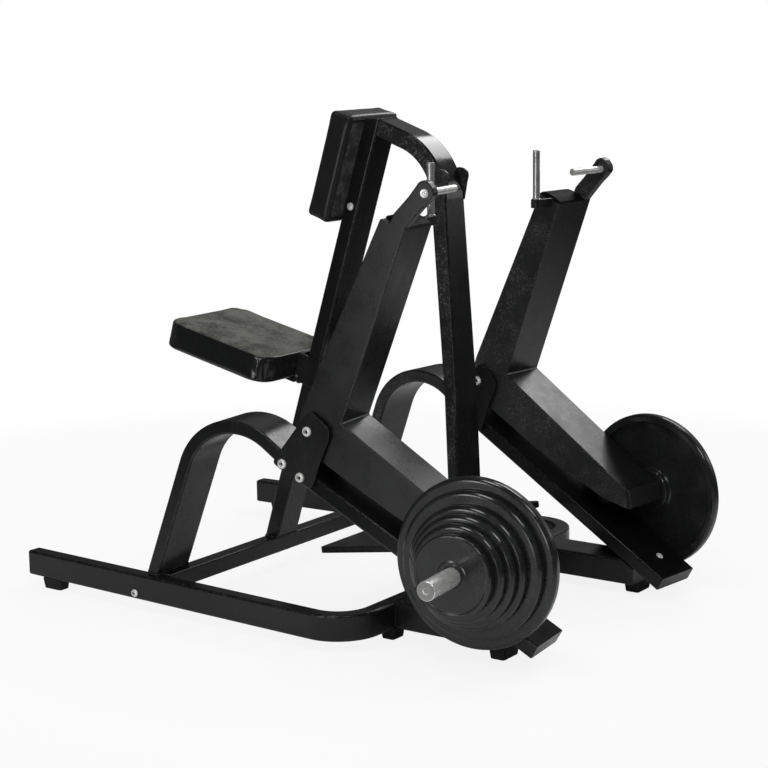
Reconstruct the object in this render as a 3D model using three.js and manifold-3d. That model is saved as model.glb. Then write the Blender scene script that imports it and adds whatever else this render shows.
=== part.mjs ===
// A chest-supported row machine that is loaded with discs, one swinging arm on each side.
// Millimetres, +Z up, the floor at z = 0. The user sits at the -X end and looks along +X.
// +Y is the user's left. The two sides mirror each other, so the right side is worked out
// in a side frame and the left side is its mirror.
import * as THREE from 'three';
import { mergeVertices } from 'three/addons/utils/BufferGeometryUtils.js';
import Module from 'manifold-3d';

const wasm = await Module();
wasm.setup();

// Driving sizes of the whole machine
const axleToRailEnd = 1506;
const armSpread = 374.8;
const splay = 0.1158;
const axleHeight = 272;
const pivotBehindAxle = 497;
const pivotHeight = 568;

// Clearances that every fit uses
const fit = 0.3;
const overrun = 2;

// Colours, roughness and metalness
const blackPaint = { color: 0x17181a, roughness: 0.38, metalness: 0.35 };
const greyPaint = { color: 0x2b2d30, roughness: 0.42, metalness: 0.35 };
const steel = { color: 0xc9c9c6, roughness: 0.26, metalness: 0.95 };
const rubber = { color: 0x101112, roughness: 0.85, metalness: 0.0 };
const plastic = { color: 0x151617, roughness: 0.6, metalness: 0.0 };
const castIron = { color: 0x121314, roughness: 0.34, metalness: 0.4 };
const vinyl = { color: 0x1b1c1b, roughness: 0.62, metalness: 0.0 };
const seatVinyl = { color: 0x3a3c36, roughness: 0.78, metalness: 0.0 };

// Solids: conversions between three.js geometry and closed solids
function toSolid(geometry) {
  const bare = geometry.clone();
  bare.deleteAttribute('normal');
  bare.deleteAttribute('uv');
  const merged = mergeVertices(bare);
  const vertProperties = new Float32Array(merged.attributes.position.array);
  const triVerts = new Uint32Array(merged.index.array);
  return new wasm.Manifold(new wasm.Mesh({ numProp: 3, vertProperties, triVerts }));
}

function toGeometry(solid) {
  const mesh = solid.getMesh();
  const geometry = new THREE.BufferGeometry();
  geometry.setAttribute('position', new THREE.BufferAttribute(new Float32Array(mesh.vertProperties), 3));
  geometry.setIndex(new THREE.BufferAttribute(new Uint32Array(mesh.triVerts), 1));
  const flat = geometry.toNonIndexed();
  flat.computeVertexNormals();
  return flat;
}

function mirrored(geometry) {
  const flat = geometry.index ? geometry.toNonIndexed() : geometry.clone();
  const from = flat.attributes.position.array;
  const to = new Float32Array(from.length);
  for (let i = 0; i < from.length; i += 9) {
    for (const [corner, source] of [[0, 0], [1, 2], [2, 1]]) {
      to[i + corner * 3] = from[i + source * 3];
      to[i + corner * 3 + 1] = -from[i + source * 3 + 1];
      to[i + corner * 3 + 2] = from[i + source * 3 + 2];
    }
  }
  const turned = new THREE.BufferGeometry();
  turned.setAttribute('position', new THREE.BufferAttribute(to, 3));
  turned.computeVertexNormals();
  return turned;
}

// Outlines are lists of [across, up] points
function signedArea(points) {
  let sum = 0;
  points.forEach((point, i) => {
    const next = points[(i + 1) % points.length];
    sum += point[0] * next[1] - next[0] * point[1];
  });
  return sum / 2;
}

function shapeOf(points) {
  return new THREE.Shape(points.map((point) => new THREE.Vector2(point[0], point[1])));
}

// A side-view outline [x, z] drawn out along y from yFrom to yTo
function sidePrism(points, yFrom, yTo) {
  const geometry = new THREE.ExtrudeGeometry(shapeOf(points), { depth: yTo - yFrom, bevelEnabled: false });
  return geometry.rotateX(Math.PI / 2).translate(0, yTo, 0);
}

// A plan outline [x, y] drawn up from zFrom to zTo
function planPrism(points, zFrom, zTo) {
  const geometry = new THREE.ExtrudeGeometry(shapeOf(points), { depth: zTo - zFrom, bevelEnabled: false });
  return geometry.translate(0, 0, zFrom);
}

// A front-view outline [y, z] drawn along x from xFrom to xTo
function frontPrism(points, xFrom, xTo) {
  const geometry = new THREE.ExtrudeGeometry(shapeOf(points), { depth: xTo - xFrom, bevelEnabled: false });
  return geometry.rotateX(Math.PI / 2).rotateZ(Math.PI / 2).translate(xFrom, 0, 0);
}

// The outline moved inward by one distance for each of its edges, edge i running from point i
function insetOutline(points, distances) {
  const count = points.length;
  const sign = Math.sign(signedArea(points));
  const lines = points.map((point, i) => {
    const next = points[(i + 1) % count];
    const span = Math.hypot(next[0] - point[0], next[1] - point[1]);
    const along = [(next[0] - point[0]) / span, (next[1] - point[1]) / span];
    const inward = [-along[1] * sign, along[0] * sign];
    const distance = Array.isArray(distances) ? distances[i] : distances;
    return { at: [point[0] + inward[0] * distance, point[1] + inward[1] * distance], along };
  });
  return points.map((point, i) => {
    const before = lines[(i + count - 1) % count];
    const after = lines[i];
    const cross = before.along[0] * after.along[1] - before.along[1] * after.along[0];
    const apart = [after.at[0] - before.at[0], after.at[1] - before.at[1]];
    const run = (apart[0] * after.along[1] - apart[1] * after.along[0]) / cross;
    return [before.at[0] + before.along[0] * run, before.at[1] + before.along[1] * run];
  });
}

// A centreline through corner points with a round bend at each inner one
function bentPath(points, radius, steps) {
  const path = [];
  const unit = (a, b) => {
    const span = Math.hypot(b[0] - a[0], b[1] - a[1]);
    return [(b[0] - a[0]) / span, (b[1] - a[1]) / span];
  };
  const first = unit(points[0], points[1]);
  path.push({ at: points[0], heading: first });
  for (let i = 1; i < points.length - 1; i += 1) {
    const into = unit(points[i - 1], points[i]);
    const out = unit(points[i], points[i + 1]);
    const turn = Math.atan2(into[0] * out[1] - into[1] * out[0], into[0] * out[0] + into[1] * out[1]);
    const tangent = radius * Math.tan(Math.abs(turn) / 2);
    const side = Math.sign(turn);
    const start = [points[i][0] - into[0] * tangent, points[i][1] - into[1] * tangent];
    const centre = [start[0] - into[1] * side * radius, start[1] + into[0] * side * radius];
    for (let k = 0; k <= steps; k += 1) {
      const angle = (turn * k) / steps;
      const heading = [
        into[0] * Math.cos(angle) - into[1] * Math.sin(angle),
        into[0] * Math.sin(angle) + into[1] * Math.cos(angle),
      ];
      const at = [centre[0] + heading[1] * side * radius, centre[1] - heading[0] * side * radius];
      path.push({ at, heading });
    }
  }
  const last = points.length - 1;
  path.push({ at: points[last], heading: unit(points[last - 1], points[last]) });
  return path;
}

// The outline of a flat bar that follows a path, half its thickness to each side
function barOutline(path, half, startExtra, endExtra) {
  const left = [];
  const right = [];
  path.forEach(({ at, heading }, i) => {
    let run = 0;
    if (i === 0) run = -startExtra;
    if (i === path.length - 1) run = endExtra;
    const point = [at[0] + heading[0] * run, at[1] + heading[1] * run];
    left.push([point[0] - heading[1] * half, point[1] + heading[0] * half]);
    right.push([point[0] + heading[1] * half, point[1] - heading[0] * half]);
  });
  return left.concat(right.reverse());
}

// A turned piece: profile [radius, along] about the y axis of its frame, at [x, z]
function turnedAlongY(profile, segments, x, z) {
  const points = profile.map((point) => new THREE.Vector2(point[0], point[1]));
  const signed = signedArea(profile);
  const ordered = signed < 0 ? points.reverse() : points;
  const geometry = new THREE.LatheGeometry(ordered, segments);
  return geometry.translate(x, 0, z);
}

function cylinderAlongY(radius, yFrom, yTo, segments, x, z) {
  const geometry = new THREE.CylinderGeometry(radius, radius, yTo - yFrom, segments);
  return geometry.translate(x, (yFrom + yTo) / 2, z);
}

function cylinderUp(radius, zFrom, zTo, segments, x, y) {
  const geometry = new THREE.CylinderGeometry(radius, radius, zTo - zFrom, segments);
  return geometry.rotateX(Math.PI / 2).translate(x, y, (zFrom + zTo) / 2);
}

function box(xFrom, xTo, yFrom, yTo, zFrom, zTo) {
  const geometry = new THREE.BoxGeometry(xTo - xFrom, yTo - yFrom, zTo - zFrom);
  return geometry.translate((xFrom + xTo) / 2, (yFrom + yTo) / 2, (zFrom + zTo) / 2);
}

// Counts of flats on round pieces
const discSegments = 40;
const boltSegments = 16;
const rodSegments = 20;
const bendSteps = 8;

// Weight discs, six on each arm, in the side frame: width runs outward from the arm
const armHalfWidth = 75;
const collarThickness = 7;
const sleeveRadius = 25;
const sleeveTip = 378;
const boreGap = 0.4;
const discRadii = [225, 195, 162, 145, 127, 107];
const largeDiscThickness = 31;
const smallDiscThickness = 25.5;
const discEdge = 4;
const largeDiscRim = 24;
const largeDiscWeb = 13;
const largeDiscHub = 62;
const discStackStart = armHalfWidth + collarThickness + fit;

// The axle station puts the middle of the whole length at x = 0
const railThickness = 46;
const railToe = 0.05;
const railCapFlange = 6;
const railTurn = Math.atan(railToe);
const railReach = axleToRailEnd - railCapFlange + (railCapFlange + fit) * Math.cos(railTurn)
  + (railThickness / 2) * Math.sin(railTurn);
const largeDiscFace = discStackStart + largeDiscThickness;
const discReach = discRadii[0] * Math.cos(splay) + (largeDiscFace - discEdge) * Math.sin(splay);
const axleX = (railReach - discReach) / 2;

const group = new THREE.Group();
const rightSide = new THREE.Group();
const leftSide = new THREE.Group();
rightSide.position.set(axleX, -armSpread, 0);
rightSide.rotation.z = splay;
leftSide.position.set(axleX, armSpread, 0);
leftSide.rotation.z = -splay;
group.add(rightSide);
group.add(leftSide);
rightSide.updateMatrix();

function addMesh(parent, name, geometry, look) {
  const material = new THREE.MeshStandardMaterial(look);
  const mesh = new THREE.Mesh(geometry, material);
  mesh.name = name;
  parent.add(mesh);
}

function addPair(name, geometry, look) {
  addMesh(rightSide, `${name}_right`, geometry, look);
  addMesh(leftSide, `${name}_left`, mirrored(geometry), look);
}

function addCentrePair(name, geometry, look) {
  addMesh(group, `${name}_right`, geometry, look);
  addMesh(group, `${name}_left`, mirrored(geometry), look);
}

// Base frame: a U of bent rectangular tube, open to the rear, with two skid bars in front
const baseBottom = 32;
const baseTop = 105;
const baseWall = 4;
const railEndHalfSpan = 533.5;
const frontBarBehindAxle = 311;
const baseBendRadius = 107;
const railCapSpigot = 30;
const railStart = [axleX - axleToRailEnd + railCapFlange, railEndHalfSpan];
const frontBarX = axleX - frontBarBehindAxle;
const railHalfSpanAt = (x) => railEndHalfSpan + (x - railStart[0]) * railToe;
const basePath = bentPath([
  [railStart[0], -railEndHalfSpan],
  [frontBarX, -railHalfSpanAt(frontBarX)],
  [frontBarX, railHalfSpanAt(frontBarX)],
  [railStart[0], railEndHalfSpan],
], baseBendRadius, bendSteps);
const railHalf = railThickness / 2;
const baseOuter = toSolid(planPrism(barOutline(basePath, railHalf, 0, 0), baseBottom, baseTop));
const baseInnerOutline = barOutline(basePath, railHalf - baseWall, overrun, overrun);
const baseInner = toSolid(planPrism(baseInnerOutline, baseBottom + baseWall, baseTop - baseWall));

// Sloped front bars: one on each side, from the pivot plates down to the skid's end
const barHalfWidth = 79;
const barThickness = 42;
const barWall = 4;
const barToeAheadOfAxle = 151;
const barToeHeight = 51.5;
const barBoltBehindAxle = 522;
const barBoltHeight = 442;
const barPastBolt = 22;
const barSlope = Math.atan2(barBoltHeight - barToeHeight, barBoltBehindAxle + barToeAheadOfAxle);
const barToe = [barToeAheadOfAxle, barToeHeight];
const barBolt = [-barBoltBehindAxle, barBoltHeight];
const barUp = [-Math.cos(barSlope), Math.sin(barSlope)];
const barNormal = [Math.sin(barSlope), Math.cos(barSlope)];
const barHead = [barBolt[0] + barUp[0] * barPastBolt, barBolt[1] + barUp[1] * barPastBolt];
const barPath = bentPath([barToe, barHead], 0, 0);
const barOutlinePoints = barOutline(barPath, barThickness / 2, 0, 0);
const barClear = (gap) => {
  const outline = barOutline(barPath, barThickness / 2 + gap, gap, gap);
  const blank = sidePrism(outline, -barHalfWidth - gap, barHalfWidth + gap);
  return toSolid(blank.applyMatrix4(rightSide.matrix));
};

// Skid bars: welded to the front of the base, cut under the sloped bars
const skidHalfWidth = 59;
const skidSpread = 349;
const skidNose = 50;
const skidNoseX = axleX + skidNose;
const skidFrom = frontBarX + railHalf - baseWall / 2;
const skidBlank = toSolid(box(skidFrom, skidNoseX, -skidSpread - skidHalfWidth,
  -skidSpread + skidHalfWidth, baseBottom, baseTop));
const skidHollowBlank = toSolid(box(frontBarX, skidNoseX - baseWall,
  -skidSpread - skidHalfWidth + baseWall, -skidSpread + skidHalfWidth - baseWall,
  baseBottom + baseWall, baseTop - baseWall));
const skidSolid = skidBlank.subtract(barClear(fit));
const skidHollow = skidHollowBlank.subtract(barClear(fit + baseWall));
const skidLeft = toSolid(mirrored(toGeometry(skidSolid)));
const skidHollowLeft = toSolid(mirrored(toGeometry(skidHollow)));
const baseSolid = baseOuter.add(skidSolid).add(skidLeft)
  .subtract(baseInner).subtract(skidHollow).subtract(skidHollowLeft);
addMesh(group, 'base_frame', toGeometry(baseSolid), blackPaint);

// Rail end caps, pushed into the open rear ends of the base
const railEndTurn = new THREE.Matrix4().makeRotationZ(-railTurn)
  .setPosition(railStart[0], -railEndHalfSpan, 0);
const capFlange = toSolid(box(-railCapFlange, 0, -railHalf, railHalf, baseBottom, baseTop));
const spigotHalf = railHalf - baseWall - fit;
const capSpigot = toSolid(box(-railCapFlange / 2, railCapSpigot, -spigotHalf, spigotHalf,
  baseBottom + baseWall + fit, baseTop - baseWall - fit));
const railCap = toGeometry(capFlange.add(capSpigot)).translate(-fit, 0, 0).applyMatrix4(railEndTurn);
addCentrePair('rail_cap', railCap, plastic);

// Rear crossbar, bolted between the rails
const rearBarBack = 1021;
const rearBarDepth = 48;
const rearBarHeight = 48;
const rearBarX0 = axleX - rearBarBack;
const rearBarX1 = rearBarX0 + rearBarDepth;
const rearBarEndAt = (x) => railHalfSpanAt(x) - railHalf * Math.hypot(1, railToe) - fit;
const rearBarOutline = [
  [rearBarX0, -rearBarEndAt(rearBarX0)],
  [rearBarX1, -rearBarEndAt(rearBarX1)],
  [rearBarX1, rearBarEndAt(rearBarX1)],
  [rearBarX0, rearBarEndAt(rearBarX0)],
];
const rearBarOuter = toSolid(planPrism(rearBarOutline, baseTop - rearBarHeight, baseTop));
const rearBarInner = toSolid(planPrism(
  insetOutline(rearBarOutline, [baseWall, -overrun, baseWall, -overrun]),
  baseTop - rearBarHeight + baseWall,
  baseTop - baseWall,
));
addMesh(group, 'rear_crossbar', toGeometry(rearBarOuter.subtract(rearBarInner)), blackPaint);

// Feet: six rubber blocks under the base
const rearFootFromRailEnd = 92;
const rearFootBehindAxle = axleToRailEnd - rearFootFromRailEnd;
const rearFootLength = 72;
const rearFootWidth = 44;
const middleFootSpread = 388;
const middleFootLength = 46;
const middleFootWidth = 58;
const frontFootAheadOfAxle = 26;
const frontFootLength = 50;
const frontFootWidth = 80;
const frontFootSpread = 365;
const footTaper = 4;

function footBlock(x, y, length, width) {
  const solid = new THREE.BoxGeometry(length, width, baseBottom);
  solid.translate(x, y, baseBottom / 2);
  const position = solid.attributes.position;
  for (let i = 0; i < position.count; i += 1) {
    if (position.getZ(i) < baseBottom / 2) {
      position.setX(i, position.getX(i) + Math.sign(x - position.getX(i)) * footTaper);
      position.setY(i, position.getY(i) + Math.sign(y - position.getY(i)) * footTaper);
    }
  }
  return solid;
}

const rearFootX = axleX - rearFootBehindAxle;
const rearFootY = -railHalfSpanAt(rearFootX);
addCentrePair('foot_rear', footBlock(rearFootX, rearFootY, rearFootLength, rearFootWidth), rubber);
const middleFoot = footBlock(frontBarX, -middleFootSpread, middleFootLength, middleFootWidth);
addCentrePair('foot_middle', middleFoot, rubber);
const frontFootX = axleX + frontFootAheadOfAxle;
const frontFoot = footBlock(frontFootX, -frontFootSpread, frontFootLength, frontFootWidth);
addCentrePair('foot_front', frontFoot, rubber);

// Pivot plates and the three bolts that pass through each pair
const plateGap = 7;
const plateThickness = 8;
const plateInner = armHalfWidth + plateGap;
const plateOuter = plateInner + plateThickness;
const boltRadius = 8;
const boltHeadRadius = 13.5;
const boltHeadHeight = 8;
const holeRadius = boltRadius + fit;
const bossRadius = 15;
const pivot = [-pivotBehindAxle, pivotHeight];
const archBoltBehindAxle = 576;
const archBoltHeight = 474;
const archBolt = [-archBoltBehindAxle, archBoltHeight];
const plateSpan = 100;
const plateOutlineShares = [
  [0.13, 0.53], [0.46, 0.29], [0.64, 0.12], [0.66, 0.02], [0.64, -0.17], [0.37, -0.78], [0.15, -1.40],
  [0.08, -1.52], [-0.02, -1.52], [-0.56, -1.25], [-0.90, -1.07], [-1.05, -0.98], [-1.08, -0.89],
  [-0.82, -0.54], [-0.28, 0.15], [-0.02, 0.46],
];
const platePoints = plateOutlineShares.map((share) => [
  pivot[0] + share[0] * plateSpan,
  pivot[1] + share[1] * plateSpan,
]);
const holeReach = plateOuter + overrun;
const plateHoles = [pivot, archBolt, barBolt].map((at) =>
  toSolid(cylinderAlongY(holeRadius, -holeReach, holeReach, boltSegments, at[0], at[1])));
function pivotPlate(yFrom, yTo) {
  let solid = toSolid(sidePrism(platePoints, yFrom, yTo));
  plateHoles.forEach((hole) => {
    solid = solid.subtract(hole);
  });
  return toGeometry(solid);
}
addPair('pivot_plate_outer', pivotPlate(-plateOuter, -plateInner), blackPaint);
addPair('pivot_plate_inner', pivotPlate(plateInner, plateOuter), blackPaint);

// A bolt with a domed head on the outer plate and a domed nut on the inner one
const domeShares = [[1, 0], [1, 0.3], [0.86, 0.72], [0.5, 1]];
function throughBolt(at) {
  const face = plateOuter + fit;
  const profile = [[0, -face - boltHeadHeight]];
  [...domeShares].reverse().forEach((share) =>
    profile.push([boltHeadRadius * share[0], -face - boltHeadHeight * share[1]]));
  profile.push([boltRadius, -face]);
  profile.push([boltRadius, face]);
  domeShares.forEach((share) => profile.push([boltHeadRadius * share[0], face + boltHeadHeight * share[1]]));
  profile.push([0, face + boltHeadHeight]);
  return turnedAlongY(profile, boltSegments, at[0], at[1]);
}
addPair('pivot_bolt', throughBolt(pivot), steel);
addPair('arch_bolt', throughBolt(archBolt), steel);
addPair('bar_bolt', throughBolt(barBolt), steel);

// Sloped bar: tube with its toe closed and a cross bush for the bolt
const bushHalf = plateInner - fit;
const barOuterSolid = toSolid(sidePrism(barOutlinePoints, -barHalfWidth, barHalfWidth));
const barHollowOutline = barOutline(barPath, barThickness / 2 - barWall, -barWall, overrun);
const barHollow = toSolid(sidePrism(barHollowOutline, -barHalfWidth + barWall, barHalfWidth - barWall));
const crossBush = (at) =>
  toSolid(cylinderAlongY(bossRadius, -bushHalf, bushHalf, boltSegments, at[0], at[1]));
const crossHole = (at) =>
  toSolid(cylinderAlongY(holeRadius, -bushHalf - overrun, bushHalf + overrun, boltSegments, at[0], at[1]));
const barSolid = barOuterSolid.subtract(barHollow).add(crossBush(barBolt)).subtract(crossHole(barBolt));
addPair('front_bar', toGeometry(barSolid), blackPaint);

// Arch: the rear leg of each side, a bent flat tube from the rear crossbar to its bolt
const archSplay = 0.0873;
const archHalfWidth = 74;
const archThickness = 38;
const archWall = 4;
const archBendRadius = 176;
const archLegLean = 0.359;
const archDroop = 0.6283;
const archLegBehindAxle = 1052;
const archPastBolt = 17;
const archFootCentre = [
  -archLegBehindAxle + (archThickness / 2) / Math.cos(archLegLean),
  baseTop,
];
const legUp = [Math.sin(archLegLean), Math.cos(archLegLean)];
const archBack = [-Math.cos(archDroop), Math.sin(archDroop)];
const archCross = legUp[0] * archBack[1] - legUp[1] * archBack[0];
const archApart = [archBolt[0] - archFootCentre[0], archBolt[1] - archFootCentre[1]];
const archRun = (archApart[0] * archBack[1] - archApart[1] * archBack[0]) / archCross;
const archCorner = [archFootCentre[0] + legUp[0] * archRun, archFootCentre[1] + legUp[1] * archRun];
const archEnd = [archBolt[0] - archBack[0] * archPastBolt, archBolt[1] - archBack[1] * archPastBolt];
const archPath = bentPath([archFootCentre, archCorner, archEnd], archBendRadius, bendSteps + bendSteps / 2);
const archFootExtra = archThickness;
const archTurn = new THREE.Matrix4().makeTranslation(archBolt[0], 0, 0)
  .multiply(new THREE.Matrix4().makeRotationZ(archSplay - splay))
  .multiply(new THREE.Matrix4().makeTranslation(-archBolt[0], 0, 0));
const archOutline = barOutline(archPath, archThickness / 2, archFootExtra, 0);
const archBlank = sidePrism(archOutline, -archHalfWidth, archHalfWidth);
const archInner = sidePrism(
  barOutline(archPath, archThickness / 2 - archWall, archFootExtra + overrun, -archWall),
  -archHalfWidth + archWall,
  archHalfWidth - archWall,
);
const machineLength = axleToRailEnd;
const belowBase = toSolid(box(-machineLength, machineLength, -armSpread, armSpread,
  -machineLength, baseTop + fit));
const archSolid = toSolid(archBlank.applyMatrix4(archTurn))
  .subtract(toSolid(archInner.applyMatrix4(archTurn)))
  .add(crossBush(archBolt)).subtract(crossHole(archBolt)).subtract(belowBase);
addPair('arch', toGeometry(archSolid), blackPaint);

// Swinging arm: a boomerang of tapered rectangular tube about the pivot
const armWall = 5;
const creaseAheadOfPivot = 96;
const creaseAbovePivot = 26;
const upperLean = 0.3608;
const upperLength = 549;
const upperFootDepth = 123;
const upperTopDepth = 76;
const lowerDroop = 0.5853;
const lowerLength = 518;
const lowerHeelDepth = 125;
const lowerDepthShares = [[0.023, 1], [0.43, 0.894], [0.59, 0.821], [0.92, 0.587], [1.07, 0.342]];
const heelRadius = 42;
const heelAngleShares = [0.64, 0.57, 0.5, 0.43];
const crease = [pivot[0] + creaseAheadOfPivot, pivot[1] + creaseAbovePivot];
const upperAt = (run, depth) => [
  crease[0] + Math.sin(upperLean) * run - Math.cos(upperLean) * depth,
  crease[1] + Math.cos(upperLean) * run + Math.sin(upperLean) * depth,
];
const lowerAt = (run, depth) => [
  crease[0] + Math.cos(lowerDroop) * run - Math.sin(lowerDroop) * depth,
  crease[1] - Math.sin(lowerDroop) * run - Math.cos(lowerDroop) * depth,
];
const heelPoints = heelAngleShares.map((share) => [
  pivot[0] + heelRadius * Math.cos(share * 2 * Math.PI),
  pivot[1] - heelRadius * Math.sin(share * 2 * Math.PI) * -1,
]);
const undersidePoints = lowerDepthShares.map((share) =>
  lowerAt(share[0] * lowerLength, share[1] * lowerHeelDepth));
const armOutline = [
  crease,
  lowerAt(lowerLength, 0),
  ...[...undersidePoints].reverse(),
  ...heelPoints,
  upperAt(0, upperFootDepth),
  upperAt(upperLength, upperTopDepth),
  upperAt(upperLength, 0),
];
const endEdge = 1;
const topEdge = armOutline.length - 2;
const armInsets = armOutline.map((point, i) => (i === endEdge || i === topEdge ? -overrun : armWall));
const armOuterSolid = toSolid(sidePrism(armOutline, -armHalfWidth, armHalfWidth));
const armInside = armHalfWidth - armWall;
const armHollow = toSolid(sidePrism(insetOutline(armOutline, armInsets), -armInside, armInside));

// Extension plate: stands up from the arm's outer face and carries the cross handle
const extensionThickness = 28;
const extensionSpan = 100;
const extensionShares = [
  [-0.37, -0.245], [-0.18, 0.305], [0.28, 0.775], [0.49, 1.035], [0.57, 1.145], [0.70, 1.205], [0.85, 1.155],
  [0.98, 0.985], [1.00, 0.835], [0.87, 0.685], [0.62, 0.455], [0.19, -0.015], [0.03, -0.445],
];
const extensionBase = upperAt(upperLength, upperTopDepth / 4);
const extensionPoints = extensionShares.map((share) => [
  extensionBase[0] + share[0] * extensionSpan,
  extensionBase[1] + share[1] * extensionSpan,
]);
const extensionY = -armHalfWidth + extensionThickness;
const extensionSolid = toSolid(sidePrism(extensionPoints, -armHalfWidth, extensionY));

// Lug: a small block on the arm's inner face that carries the upright handle
const lugReach = 75;
const lugThickness = 23;
const lugHeight = 25;
const lugBelowTop = 8;
const lugCentre = upperAt(upperLength - lugBelowTop, upperTopDepth * 0.45);
const lugSolid = toSolid(box(lugCentre[0] - lugThickness / 2, lugCentre[0] + lugThickness / 2,
  armHalfWidth - armWall / 2, armHalfWidth + lugReach,
  lugCentre[1] - lugHeight / 2, lugCentre[1] + lugHeight / 2));

// Handles
const handleRadius = 10;
const handleStud = 6;
const studHole = handleStud + fit;
const crossHandleTip = 91;
const crossHandleHead = 12;
const crossHandleHeadHeight = 7;
const crossHandleShares = [0.75, 0.875];
const crossHandleAt = [
  extensionBase[0] + crossHandleShares[0] * extensionSpan,
  extensionBase[1] + crossHandleShares[1] * extensionSpan,
];
const uprightHandleLength = 138;
const uprightFromLugEnd = 14;
const handleRounding = 3;
const crossHandleHole = toSolid(cylinderAlongY(studHole, -armHalfWidth - overrun, extensionY + overrun,
  rodSegments, crossHandleAt[0], crossHandleAt[1]));
const uprightAt = [lugCentre[0], armHalfWidth + lugReach - uprightFromLugEnd];
const lugTop = lugCentre[1] + lugHeight / 2;
const lugBottom = lugCentre[1] - lugHeight / 2;
const uprightHole = toSolid(cylinderUp(studHole, lugBottom - overrun, lugTop + overrun, rodSegments,
  uprightAt[0], uprightAt[1]));

// Arm weldment: tube, pivot boss, extension plate and lug
const bossHalf = plateInner - fit;
const pivotBossRadius = 24;
const pivotBoss = toSolid(cylinderAlongY(pivotBossRadius, -bossHalf, bossHalf, rodSegments,
  pivot[0], pivot[1]));
const pivotBore = toSolid(cylinderAlongY(holeRadius, -bossHalf - overrun, bossHalf + overrun, boltSegments,
  pivot[0], pivot[1]));
const sleeveStud = 6.5;
const sleeveSocketRadius = sleeveStud + fit;
const sleeveInside = 30;
const sleeveSocket = toSolid(cylinderAlongY(sleeveSocketRadius, -armHalfWidth - overrun,
  -armHalfWidth + sleeveInside + fit, rodSegments, 0, axleHeight));
const armSolid = armOuterSolid.subtract(armHollow).add(pivotBoss).add(extensionSolid).add(lugSolid)
  .subtract(pivotBore).subtract(sleeveSocket).subtract(crossHandleHole).subtract(uprightHole);
addPair('arm', toGeometry(armSolid), greyPaint);

// Caps in the arm's two open ends
const capLip = 4;
const capDome = 12;
const capSink = 22;
const capWallGap = armWall + fit;
const topCapShares = [[1, 0], [0.97, 0.55], [0.82, 0.9], [0.62, 1], [0.3, 0.9], [0.04, 0.45], [0, 0]];
const topCapOutline = topCapShares.map((share) =>
  upperAt(upperLength + fit + share[1] * capDome, share[0] * upperTopDepth));
const topCapTo = armHalfWidth - armWall / 2 - fit;
const topCapFrom = extensionY + fit;
const topSpigotOutline = [
  upperAt(upperLength + capLip / 2, capWallGap),
  upperAt(upperLength + capLip / 2, upperTopDepth - capWallGap),
  upperAt(upperLength - capSink, upperTopDepth - capWallGap),
  upperAt(upperLength - capSink, capWallGap),
];
const topCap = toSolid(sidePrism(topCapOutline, topCapFrom, topCapTo))
  .add(toSolid(sidePrism(topSpigotOutline, topCapFrom, topCapTo - capWallGap)));
addPair('arm_top_cap', toGeometry(topCap), plastic);

const endTop = lowerAt(lowerLength, 0);
const endBottom = undersidePoints[undersidePoints.length - 1];
const endSpan = Math.hypot(endBottom[0] - endTop[0], endBottom[1] - endTop[1]);
const endDown = [(endBottom[0] - endTop[0]) / endSpan, (endBottom[1] - endTop[1]) / endSpan];
const endAt = (down, out) => [
  endTop[0] + endDown[0] * down - endDown[1] * out,
  endTop[1] + endDown[1] * down + endDown[0] * out,
];
const endCapShares = [[0, 0], [1, 0], [1, 0.55], [0.85, 1], [0.2, 1], [0, 0.5]];
const endCapOutline = endCapShares.map((share) => endAt(share[0] * endSpan, fit + share[1] * capDome));
const spigotInset = armWall * 1.6;
const endSpigotOutline = [
  endAt(spigotInset, capLip / 2),
  endAt(endSpan - spigotInset, capLip / 2),
  endAt(endSpan - spigotInset, -capLip),
  endAt(spigotInset, -capLip),
];
const endCap = toSolid(sidePrism(endCapOutline, -armHalfWidth, armHalfWidth))
  .add(toSolid(sidePrism(endSpigotOutline, -armHalfWidth + capWallGap, armHalfWidth - capWallGap)));
addPair('arm_end_cap', toGeometry(endCap), plastic);

// Cross handle: rod, stud through the extension plate and a domed head outside
const crossHandleProfile = [[0, -armHalfWidth - fit - crossHandleHeadHeight]];
[...domeShares].reverse().forEach((share) => crossHandleProfile.push([
  crossHandleHead * share[0],
  -armHalfWidth - fit - crossHandleHeadHeight * share[1],
]));
crossHandleProfile.push([handleStud, -armHalfWidth - fit]);
crossHandleProfile.push([handleStud, extensionY + fit]);
crossHandleProfile.push([handleRadius, extensionY + fit]);
crossHandleProfile.push([handleRadius, crossHandleTip - handleRounding]);
crossHandleProfile.push([handleRadius - handleRounding, crossHandleTip]);
crossHandleProfile.push([0, crossHandleTip]);
const crossHandle = turnedAlongY(crossHandleProfile, rodSegments, crossHandleAt[0], crossHandleAt[1]);
addPair('cross_handle', crossHandle, steel);

// Upright handle: rod on the lug with a stud through it
const uprightProfile = [
  [0, -lugHeight],
  [handleStud, -lugHeight],
  [handleStud, fit],
  [handleRadius, fit],
  [handleRadius, uprightHandleLength - handleRounding],
  [handleRadius - handleRounding, uprightHandleLength],
  [0, uprightHandleLength],
];
const uprightHandle = turnedAlongY(uprightProfile, rodSegments, 0, 0)
  .rotateX(Math.PI / 2).translate(uprightAt[0], uprightAt[1], lugTop);
addPair('upright_handle', uprightHandle, steel);

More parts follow.
